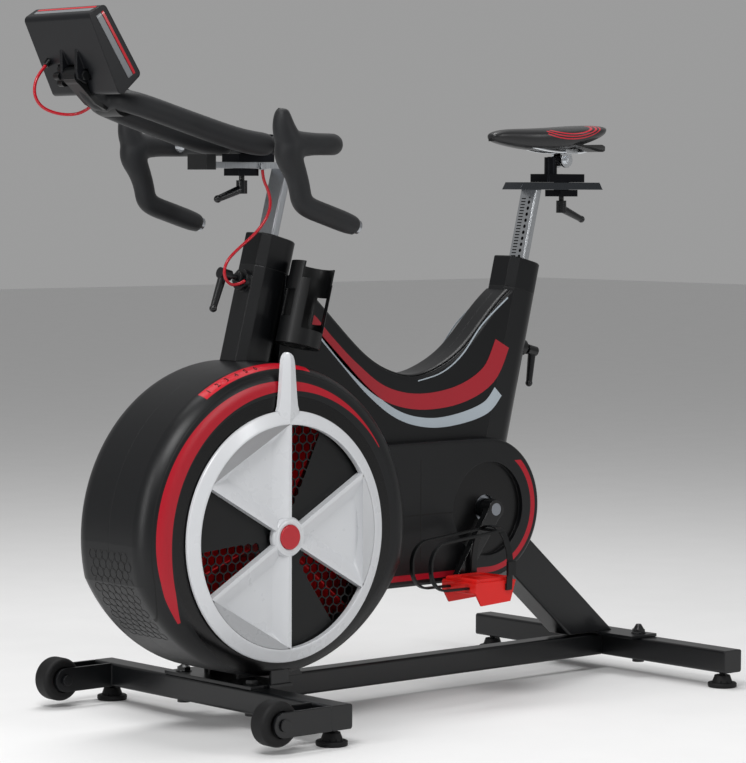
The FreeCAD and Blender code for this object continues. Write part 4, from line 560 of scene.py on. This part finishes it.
def case_print(material, place):
    """Cross-shaped mould grooves ahead of the lobe, and a red line round its rim and along the foot."""
    parts = node(material, "SeparateXYZ", {"Vector": place})
    x, y, z = parts.outputs["X"], parts.outputs["Y"], parts.outputs["Z"]
    side = within(material, y, 0.055, 0.2)
    radius = around(material, place, 0, 351)
    # the arc runs from behind the top of the lobe, round the rear, to its lowest point
    behind = within(material, x, -1, at(2, 0, 0).x)
    below = within(material, z, -1, 0.440)
    arc = both(material, within(material, radius, 0.112, 0.123), behind, below, side)
    foot = both(material, within(material, z, 0.2280, 0.2390),
                within(material, x, at(2, 0, 0).x, at(262, 0, 0).x), side)
    upright = both(material, within(material, x, at(173.6, 0, 0).x, at(176.4, 0, 0).x, 0.0003),
                   within(material, z, 0.262, 0.455), side)
    level = both(material, within(material, z, 0.3486, 0.3514, 0.0003),
                 within(material, x, at(92, 0, 0).x, at(236, 0, 0).x), side)
    dish = both(material, within(material, radius, -1, 0.0895), within(material, y, 0.0, 0.0605))
    return [(dish, "#040405", 0.30, 0.0), (upright, "#010101", 0.6, 3.0), (level, "#010101", 0.6, 3.0),
            (arc, "#A80F22", 0.30, 0.0), (foot, "#A80F22", 0.30, 0.0)]


case_plastic = printed_abs("black_abs_case_print", "#07080A", case_print)
finish_cad(case_plastic, "left_chain_case", "right_chain_case")

# ---- front air grille
# Honeycomb ribs moulded on the front of the housing, where the air leaves it. Each cell has
# a six-sided wall 1 mm thick; one is made, then laid side by side round the drum. Low down
# the drum is flatter: a second curve about a line above the hub cuts it.
cell_size = 10.4
drum_r = 306
low_r = 334
low_rise = 81
bpy.ops.object.select_all(action="DESELECT")
bpy.ops.mesh.primitive_circle_add(vertices=6, radius=cell_size / 1000, fill_type="NGON")
grille = bpy.context.object
grille.name = "front_honeycomb"
bpy.ops.object.mode_set(mode="EDIT")
bpy.ops.mesh.select_all(action="SELECT")
bpy.ops.mesh.inset(thickness=0.0010)
bpy.ops.mesh.extrude_region_move(TRANSFORM_OT_translate={"value": (0, 0, -0.0011)})
bpy.ops.object.mode_set(mode="OBJECT")
pitch_y = cell_size * math.sqrt(3) / 1000
pitch_x = cell_size * 1.5 / 1000
for count, step in ((2, (pitch_x, pitch_y / 2, 0)), (6, (2 * pitch_x, 0, 0)), (6, (0, pitch_y, 0))):
    modify(grille, "ARRAY", count=count, use_relative_offset=False, use_constant_offset=True,
           constant_offset_displace=step)
for vert in grille.data.vertices:
    # wrap the flat sheet round the drum, from 4 degrees below level downward
    turn = -0.07 - 1000 * vert.co.x / drum_r
    low_curve = low_rise * math.sin(turn) + math.sqrt(low_r ** 2 - (low_rise * math.cos(turn)) ** 2)
    reach = min(drum_r, low_curve) + 0.4 + 1000 * vert.co.z
    vert.co = at(hub[0] + reach * math.cos(turn), -14 + 1000 * vert.co.y, hub[1] + reach * math.sin(turn))
bpy.ops.object.mode_set(mode="EDIT")
bpy.ops.mesh.select_all(action="SELECT")
bpy.ops.mesh.normals_make_consistent(inside=False)
bpy.ops.object.mode_set(mode="OBJECT")
grille.data.materials.append(grained_plastic("black_abs_grille_ribs", "#050506", 0.30, 0.9, 0.05))
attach(grille, "frame")

# ---- fan wheel
# A red glass-filled nylon wheel with two rows of blades, seen through the open windows.
fan_plastic = grained_plastic("red_glass_filled_nylon", "#C4161C", 0.34, 1.0, 0.06)
finish_cad(fan_plastic, "fan_wheel")
finish_cad(zinc_steel, "fan_axle", "fan_sprocket", "crank_axle", "chainring", "chain")

# ---- air control disc
# One white moulding on the fan's axis: a bevelled ring, six ridged spokes and three dished
# panels that close half the openings, with a finger lever above. It is turned by hand.
disc_back = 145.4
disc_face = 157.6
panel_back = 141.0
panel_depth = 13.6
slope_wide = 27
ring_inner = 199
ring_outer = 224
half_spoke = 4.5


def gloss_abs(name, colour, roughness):
    """Polished white ABS: bright and glossy, a little uneven where it cooled."""
    material, place = new_material(name)
    flow = node(material, "TexNoise", {"Vector": place, "Scale": 22.0, "Detail": 3.0})
    corner = node(material, "Bevel", {"Radius": 0.0008}, samples=4)
    bump = node(material, "Bump", {"Height": flow.outputs["Fac"], "Strength": 0.05, "Distance": 0.001,
                                             "Normal": corner})
    tone = node(material, "MixRGB", {"Fac": flow.outputs["Fac"], "Color1": linear(colour),
                                               "Color2": scaled(colour, 0.94)})
    rough = node(material, "MapRange", {"Value": flow.outputs["Fac"], "To Min": roughness,
                                                  "To Max": roughness + 0.08})
    return surface(material, node(material, "BsdfPrincipled", {
        "Base Color": tone, "Roughness": rough, "Coat Weight": 0.2, "Coat Roughness": 0.08,
        "Normal": bump}))


white_abs = gloss_abs("white_polished_abs", "#D3D5D8", 0.24)


def on_disc(radius, angle, y):
    """A place on the disc: radius from the axis, angle up from the front, and depth."""
    return at(hub[0] + radius * math.cos(angle), y, hub[1] + radius * math.sin(angle))


def turned(name, profile, sides):
    """A ring or boss turned about the fan's axis from (radius, y) points."""
    angles = [2 * math.pi * k / sides for k in range(sides)]
    return loft(name, [[on_disc(radius, angle, y) for angle in angles] for radius, y in profile], "join")


ring = turned("air_ring", [
    (ring_outer, disc_back), (ring_outer, 149.5), (222.4, 151.4), (204, disc_face - 0.4),
    (202.5, disc_face), (200, disc_face), (ring_inner, disc_face - 0.8), (ring_inner, disc_back),
    (ring_outer, disc_back)], 144)
boss = turned("air_boss", [
    (22.4, disc_back), (22.4, disc_face), (24.5, 158.4), (27.5, 158.8), (30, 157.6), (33, disc_face),
    (36, 153), (36, disc_back), (22.4, disc_back)], 96)


def panel_face(radius, angle, start, end):
    """Depth of a panel: spokes and ring stand high, and slopes run down to a flat floor."""
    from_side = radius * min(math.sin(angle - start), math.sin(end - angle)) - half_spoke / 2
    slope = min(max(min(from_side, ring_inner - radius) / slope_wide, 0), 1)
    return disc_face - 0.3 - panel_depth * slope


panels = []
for number in range(3):
    start = math.radians(30 + 120 * number)
    end = start + math.radians(60)
    rows = []
    for i in range(61):
        radius = 30 + (200.5 - 30) * i / 60
        edge = math.asin(half_spoke / radius)
        low, high = start - edge, end + edge
        angles = [low + (high - low) * k / 72 for k in range(73)]
        top = [on_disc(radius, a, panel_face(radius, a, start, end)) for a in angles]
        back = [on_disc(radius, angle, panel_back) for angle in reversed(angles[::24])]
        rows.append(top + back)
    panels.append(loft("air_panel_%d" % (number + 1), rows))
    bpy.ops.object.shade_smooth_by_angle(angle=math.radians(28))

lever_rows = []
# (distance from the axis, half width, height of the ridge)
for reach, half, ridge in (
        (202, 5, 158.0), (212, 16, 158.6), (224, 24, 159.4), (232, 21, 159.8), (250, 18.5, 160.2),
        (280, 16, 160.2), (300, 14.6, 160.0), (313, 13.2, 159.2), (320, 11.0, 157.8), (324.5, 7.4, 155.4),
        (326.8, 3.0, 152.4)):
    level = hub[1] + reach
    edge = disc_back + (ridge - disc_back) * 0.62
    lever_rows.append([at(hub[0] - half, disc_back, level), at(hub[0] - half, edge, level),
                       at(hub[0] - half * 0.86, edge + 1.1, level), at(hub[0], ridge, level),
                       at(hub[0] + half * 0.86, edge + 1.1, level), at(hub[0] + half, edge, level),
                       at(hub[0] + half, disc_back, level)])
lever = loft("air_lever", lever_rows)
bpy.ops.object.shade_smooth_by_angle(angle=math.radians(20))
join("air_disc_moulding", [ring, boss, lever] + panels)
bpy.ops.object.shade_smooth_by_angle(angle=math.radians(24))
ring.data.materials.append(white_abs)
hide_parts("air_disc")
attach(ring, "air_disc")
red_gloss = gloss_abs("red_polished_abs", "#B3101F", 0.16)
finish_cad(red_gloss, "air_disc_cap")

# ---- posts and slides
# The two posts are brushed rectangular steel with a clear lacquer. Each carries a ground steel
# rail on which a block slides, and the seat post has a scale and holes on its front face.
bar_lean = math.radians(15)
seat_lean = math.radians(14)
slide_alloy = machined_steel("black_anodised_slide", "#1B1C1F", 0.34, (60, 900, 900))


def blocked_post():
    """Brushed steel post and rail; the end block on the rail is black nylon."""
    material, place = new_material("brushed_stainless_with_nylon_end")
    parts = node(material, "SeparateXYZ", {"Vector": place})
    end = within(material, parts.outputs["X"], at(636.2, 0, 0).x, 2)
    along_post = node(material, "Mapping", {"Vector": place, "Rotation": (0, bar_lean, 0),
                                                      "Scale": (900, 900, 14)})
    lines = node(material, "TexNoise", {"Vector": along_post, "Scale": 1.0, "Detail": 3.0})
    corner = node(material, "Bevel", {"Radius": 0.002}, samples=4)
    tone = node(material, "MixRGB", {"Fac": lines.outputs["Fac"], "Color1": linear("#96999D"),
                                               "Color2": linear("#B9BCC0")})
    tone = node(material, "MixRGB", {"Fac": end, "Color1": tone, "Color2": linear("#08090A")})
    metal = node(material, "Math", {0: 1.0, 1: end}, operation="SUBTRACT")
    rough = node(material, "MapRange", {"Value": lines.outputs["Fac"], "To Min": 0.22, "To Max": 0.42})
    bump = node(material, "Bump", {"Height": lines.outputs["Fac"], "Strength": 0.08, "Distance": 0.0003,
                                             "Normal": corner})
    return surface(material, node(material, "BsdfPrincipled", {
        "Base Color": tone, "Metallic": metal, "Roughness": rough,
        "Normal": bump}))


finish_cad(blocked_post(), "bar_post")
finish_cad(slide_alloy, "bar_slider", "saddle_slider")


def scaled_post():
    """Brushed steel seat post with engraved ticks every 6 mm and a row of holes beside them; the holes are
    black discs, painted shade in place of their hollow insides.
    """
    material, place = new_material("brushed_stainless_scale")
    foot = at(-134, 0, 822)
    moved = node(material, "Mapping", {"Vector": place, "Location": (foot.x, foot.y, foot.z),
                                                 "Rotation": (0, -seat_lean, 0)}, vector_type="TEXTURE")
    parts = node(material, "SeparateXYZ", {"Vector": moved})
    fine = node(material, "Mapping", {"Vector": moved, "Scale": (900, 900, 14)})
    lines = node(material, "TexNoise", {"Vector": fine, "Scale": 1.0, "Detail": 3.0})
    step = node(material, "Math", {0: parts.outputs["Z"], 1: 0.006, 2: 0.0}, operation="WRAP")
    tick = both(material, within(material, step, 0.0, 0.0022, 0.0002),
                within(material, parts.outputs["Y"], -0.014, -0.002, 0.0002))
    # the holes are not cut: each is a black disc, painted shade standing in for its hollow inside
    hole_z = node(material, "Math", {0: parts.outputs["Z"], 1: 0.012, 2: 0.0}, operation="WRAP")
    across = node(material, "Math", {0: parts.outputs["Y"], 1: 0.008}, operation="SUBTRACT")
    up = node(material, "Math", {0: hole_z, 1: 0.006}, operation="SUBTRACT")
    spot = node(material, "CombineXYZ", {"X": across, "Y": up})
    far = node(material, "VectorMath", {0: spot}, operation="LENGTH").outputs["Value"]
    hole_shade = within(material, far, -1, 0.0036, 0.0002)
    front = within(material, parts.outputs["X"], 0.004, 0.1)
    ticks_and_hole_shade = node(material, "Math", {0: tick, 1: hole_shade}, operation="MAXIMUM")
    ticks_and_hole_shade = both(material, ticks_and_hole_shade, front, within(material, parts.outputs["Z"], -0.2, 0.125))
    # the flat rail on top of the post is blackened
    level = node(material, "SeparateXYZ", {"Vector": place}).outputs["Z"]
    crown = within(material, level, 0.958, 2)
    tone = node(material, "MixRGB", {"Fac": lines.outputs["Fac"], "Color1": linear("#AEB1B5"),
                                               "Color2": linear("#CDD0D3")})
    # black for the engraved ticks (print) and for the holes (painted shade)
    tone = node(material, "MixRGB", {"Fac": ticks_and_hole_shade, "Color1": tone, "Color2": linear("#0A0A0B")})
    tone = node(material, "MixRGB", {"Fac": crown, "Color1": tone, "Color2": linear("#4A4D51")})
    corner = node(material, "Bevel", {"Radius": 0.0015}, samples=4)
    height = node(material, "Math", {0: ticks_and_hole_shade, 1: -4.0, 2: lines.outputs["Fac"]}, operation="MULTIPLY_ADD")
    bump = node(material, "Bump", {"Height": height, "Strength": 0.12, "Distance": 0.0004,
                                             "Normal": corner})
    rough = node(material, "MapRange", {"Value": lines.outputs["Fac"], "To Min": 0.20, "To Max": 0.36})
    return surface(material, node(material, "BsdfPrincipled", {
        "Base Color": tone, "Metallic": 1.0, "Roughness": rough, "Normal": bump}))


finish_cad(scaled_post(), "seat_post")

# ---- clamp levers and knob
# Ratchet levers with a die-cast black arm on a zinc-plated stud, and a star knob at the monitor; each
# lever piece is given the black coat as a whole.
cast_lever = powder_coat("black_coated_zinc_casting", "#0B0C0E", 0.22, 0.32)
finish_cad(cast_lever, "bar_height_lever", "bar_slide_lever", "seat_height_lever", "seat_slide_lever")
finish_cad(dark_plastic, "monitor_knob")

# ---- handlebar
# A drop bar of steel tube under thick black foam, with a hood at each bend, and a second padded
# tube above it that makes one long U towards the monitor. The foam is moulded and skinned.


def foam_skin():
    """Integral-skin foam: matt, blue-black, with a leathery grain of about 1.5 mm."""
    material, place = new_material("black_integral_skin_foam")
    grain = node(material, "TexVoronoi", {"Vector": place, "Scale": 650.0}, feature="DISTANCE_TO_EDGE")
    cloud = node(material, "TexNoise", {"Vector": place, "Scale": 24.0, "Detail": 4.0})
    bump = node(material, "Bump", {"Height": grain.outputs["Distance"], "Strength": 0.18,
                                   "Distance": 0.0006})
    tone = node(material, "MixRGB", {"Fac": cloud.outputs["Fac"], "Color1": linear("#08090B"),
                                               "Color2": linear("#121418")})
    rough = node(material, "MapRange", {"Value": cloud.outputs["Fac"], "To Min": 0.50, "To Max": 0.64})
    return surface(material, node(material, "BsdfPrincipled", {
        "Base Color": tone, "Roughness": rough, "Specular IOR Level": 0.35,
        "Sheen Weight": 0.06, "Sheen Roughness": 0.5, "Normal": bump}))


foam = foam_skin()


def padded_tube(name, route):
    """A tube of foam along a smooth route of (x, y, z, radius) points, with closed ends."""
    piece = smooth_curve(name, [(at(x, y, z), radius) for x, y, z, radius in route], 10)
    thicken(piece, 0.001, 6)
    return piece


def moulded_foam(name, parts, node_name):
    """Melts foam tubes into one skin with soft inner corners."""
    piece = join(name, parts)
    modify(piece, "REMESH", mode="VOXEL", voxel_size=0.0036)
    modify(piece, "SMOOTH", factor=0.5, iterations=14)
    modify(piece, "SUBSURF", levels=1, render_levels=1)
    bpy.ops.object.shade_smooth()
    piece.data.materials.clear()
    piece.data.materials.append(foam)
    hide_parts(node_name)
    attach(piece, "handlebar")


grips = []
for end in (222, -222):
    side = math.copysign(1, end)
    grips.append(padded_tube("grip", [
        (520, 40 * side, 1036, 16), (520, 44 * side, 1036, 19), (520, 150 * side, 1036, 19),
        (518, 208 * side, 1036, 19.5), (536, 223 * side, 1036, 20), (572, end, 1036, 20),
        (606, end, 1036, 23), (630, end, 1034, 26.5), (633, end, 1014, 25), (618, end, 990, 21),
        (607, end, 962, 19.5), (603, end, 936, 19.5), (584, end, 925, 19.5), (550, end, 915, 19.5),
        (488, end, 896, 19.5), (478, end, 893, 16)]))
    grips.append(padded_tube("hood", [
        (612, end, 1030, 21), (630, end, 1038, 24), (640, end, 1056, 22.5), (645, end, 1074, 18.5),
        (646, end, 1090, 14.5), (645, end, 1097, 10)]))
moulded_foam("padded_drop_bar", grips, "bar_foam")

left_half = [
    (541, 60, 1036.5, 17), (545, 60, 1036.5, 21), (575, 60, 1039, 22), (620, 60, 1046, 21.5),
    (740, 56, 1079, 21), (806, 53, 1098, 21), (842, 44, 1108, 20.5), (850, 18, 1111, 20)]
loop = padded_tube("loop", left_half + [(x, -y, z, radius) for x, y, z, radius in reversed(left_half)])
neck = padded_tube("neck", [
    (832, 0, 1106, 19), (856, 0, 1108, 20), (876, 0, 1112, 20), (892, 0, 1124, 18.5), (904, 0, 1136, 16.5),
    (912, 0, 1145, 14)])
moulded_foam("padded_aero_bars", [loop, neck], "aero_bars")
bar_steel = machined_steel("chromed_bar_tube", "#9DA0A4", 0.22, (300, 300, 300))
finish_cad(bar_steel, "handlebar_tube")

# ---- monitor
# A shallow black ABS case with a red and a silver-grey trim line pressed into the groove round
# its screen side. The display lies behind a tinted acrylic window.
finish_cad(grained_plastic("black_abs_monitor_case", "#0C0D10", 0.34, 0.8, 0.10, 3.0), "monitor_case")


def screen_glass():
    """Clear acrylic window over a dark display with faint rows of segments."""
    material, place = new_material("tinted_acrylic_window")
    rows = node(material, "TexWave", {"Vector": place, "Scale": 60.0}, bands_direction="Z")
    tone = node(material, "MixRGB", {"Fac": rows.outputs["Fac"], "Color1": linear("#1B211C"),
                                               "Color2": linear("#252C26")})
    smear = node(material, "TexNoise", {"Vector": place, "Scale": 30.0, "Detail": 4.0})
    rough = node(material, "MapRange", {"Value": smear.outputs["Fac"], "To Min": 0.04, "To Max": 0.14})
    return surface(material, node(material, "BsdfPrincipled", {
        "Base Color": tone, "Roughness": rough, "Coat Weight": 0.6, "Coat Roughness": 0.03}))


finish_cad(screen_glass(), "monitor_screen")
slide_grey = gloss_abs("silver_grey_painted_abs", "#6E7174", 0.30)
case_top, case_foot = Vector((929, 1269)), Vector((852, 1152))
case_up = (case_top - case_foot).normalized()
case_back = Vector((case_up.y, -case_up.x))
case_mid = (case_top + case_foot) / 2
case_half = (case_top - case_foot).length / 2
case_half_wide = 95


def case_outline(depth, out, corner):
    """The case's outline at a depth behind its front: ten points round each corner."""
    found = []
    for sy, sz, first in ((1, 1, 0), (-1, 1, 90), (-1, -1, 180), (1, -1, 270)):
        for k in range(10):
            turn = math.radians(first + 90 * k / 9)
            across = sy * (case_half_wide + out - corner) + corner * math.cos(turn)
            upward = sz * (case_half + out - corner) + corner * math.sin(turn)
            spot = case_mid + case_up * upward + case_back * depth
            found.append(at(spot.x, across, spot.y))
    return found


def trim_line(name, near, far, finish):
    """A flat trim line set in the groove round the case."""
    rings = [case_outline(near, -1.0, 14), case_outline(near, 0.9, 15), case_outline(far, 0.9, 15),
             case_outline(far, -1.0, 14), case_outline(near, -1.0, 14)]
    piece = loft(name, rings, "join")
    bpy.ops.object.shade_smooth_by_angle(angle=math.radians(40))
    piece.data.materials.append(finish)
    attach(piece, "monitor")


trim_line("monitor_red_trim", 9.5, 14.5, red_gloss)
trim_line("monitor_grey_band", 16.0, 27.0, slide_grey)

# ---- saddle
# A racing saddle: a moulded shell with thin foam under a smooth black cover, stretched and
# glued over the edge, on two chromed rails in a serrated clamp.


def saddle_cover():
    """Microfibre cover with a fine pebble grain and three red curved lines on each flank."""
    material, place = new_material("black_microfibre_cover")
    parts = node(material, "SeparateXYZ", {"Vector": place})
    grain = node(material, "TexVoronoi", {"Vector": place, "Scale": 900.0})
    cloud = node(material, "TexNoise", {"Vector": place, "Scale": 20.0, "Detail": 3.0})
    radius = around(material, place, -225, 1180)
    rear = within(material, parts.outputs["X"], at(-318, 0, 0).x, at(-178, 0, 0).x)
    out = node(material, "Math", {0: parts.outputs["Y"]}, operation="ABSOLUTE")
    flank = within(material, out, 0.030, 1)
    lines = None
    for low in (0.1115, 0.1165, 0.1215):
        one = within(material, radius, low, low + 0.0022, 0.0002)
        lines = one if lines is None else node(material, "Math", {0: lines, 1: one},
                                               operation="MAXIMUM")
    lines = both(material, lines, rear, flank)
    tone = node(material, "MixRGB", {"Fac": cloud.outputs["Fac"], "Color1": linear("#08080A"),
                                               "Color2": linear("#101114")})
    tone = node(material, "MixRGB", {"Fac": lines, "Color1": tone, "Color2": linear("#B8142A")})
    rough = node(material, "MapRange", {"Value": cloud.outputs["Fac"], "To Min": 0.30, "To Max": 0.44})
    bump = node(material, "Bump", {"Height": grain.outputs["Distance"], "Strength": 0.12,
                                   "Distance": 0.0004})
    return surface(material, node(material, "BsdfPrincipled", {
        "Base Color": tone, "Roughness": rough, "Sheen Weight": 0.1,
        "Normal": bump}))


# (x, half width, edge height, crown, skirt)
saddle_stations = [
    (-334, 24, 1077, 3, 7), (-331, 38, 1077, 5, 12), (-322, 54, 1077, 8, 17), (-304, 66, 1075, 10, 22),
    (-276, 69.5, 1071, 13, 27), (-246, 64, 1067, 15, 30), (-216, 52, 1064, 16, 30),
    (-186, 39, 1062, 16.5, 28),
    (-156, 30, 1061, 16, 26), (-126, 24.5, 1061, 15, 23), (-98, 21, 1062, 13, 20), (-76, 18, 1062, 10, 16),
    (-62, 14, 1061, 7, 11), (-56.5, 8, 1060, 4, 6)]
saddle_rings = []
for x, half, edge, crown, skirt in saddle_stations:
    ring_points = []
    for k in range(24):
        turn = 2 * math.pi * k / 24
        c, s = math.cos(turn), math.sin(turn)
        wide = half * math.copysign(abs(c) ** 0.85, c)
        if s >= 0:
            ring_points.append(at(x, wide, edge + crown * s ** 0.9))
        else:
            ring_points.append(at(x, wide * (1 - 0.10 * s * s), edge - skirt * abs(s) ** 0.8))
    saddle_rings.append(ring_points)
saddle = loft("saddle_pad", saddle_rings)
modify(saddle, "SUBSURF", levels=2, render_levels=2)
bpy.ops.object.shade_smooth()
saddle.data.materials.append(saddle_cover())
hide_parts("saddle_cushion")
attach(saddle, "saddle")
chrome = machined_steel("bright_chrome_plate", "#D5D8DB", 0.12, (200, 200, 200))
finish_cad(chrome, "saddle_rails", "saddle_clamp")

# ---- cranks and pedals
# Forged alloy cranks, painted black, on a square axle. The pedals are red moulded platforms
# with a black toe clip, its strap and buckle.
crank_paint = powder_coat("black_painted_crank_alloy", "#0A0B0C", 0.18, 0.28)
finish_cad(crank_paint, "left_crank", "right_crank")
finish_cad(grained_plastic("red_nylon_pedal", "#C81E1A", 0.34, 1.0, 0.08), "left_pedal", "right_pedal")
finish_cad(dark_plastic, "left_toe_clip", "right_toe_clip")

# ---- wheels and feet
# Solid rubber transport wheels on the front forks, and rubber levelling feet on threaded studs.
rubber = grained_plastic("black_moulded_rubber", "#0A0A0B", 0.62, 1.4, 0.16)
finish_cad(rubber, "left_transport_wheel", "right_transport_wheel", "front_left_foot", "front_right_foot",
           "rear_left_foot", "rear_right_foot")
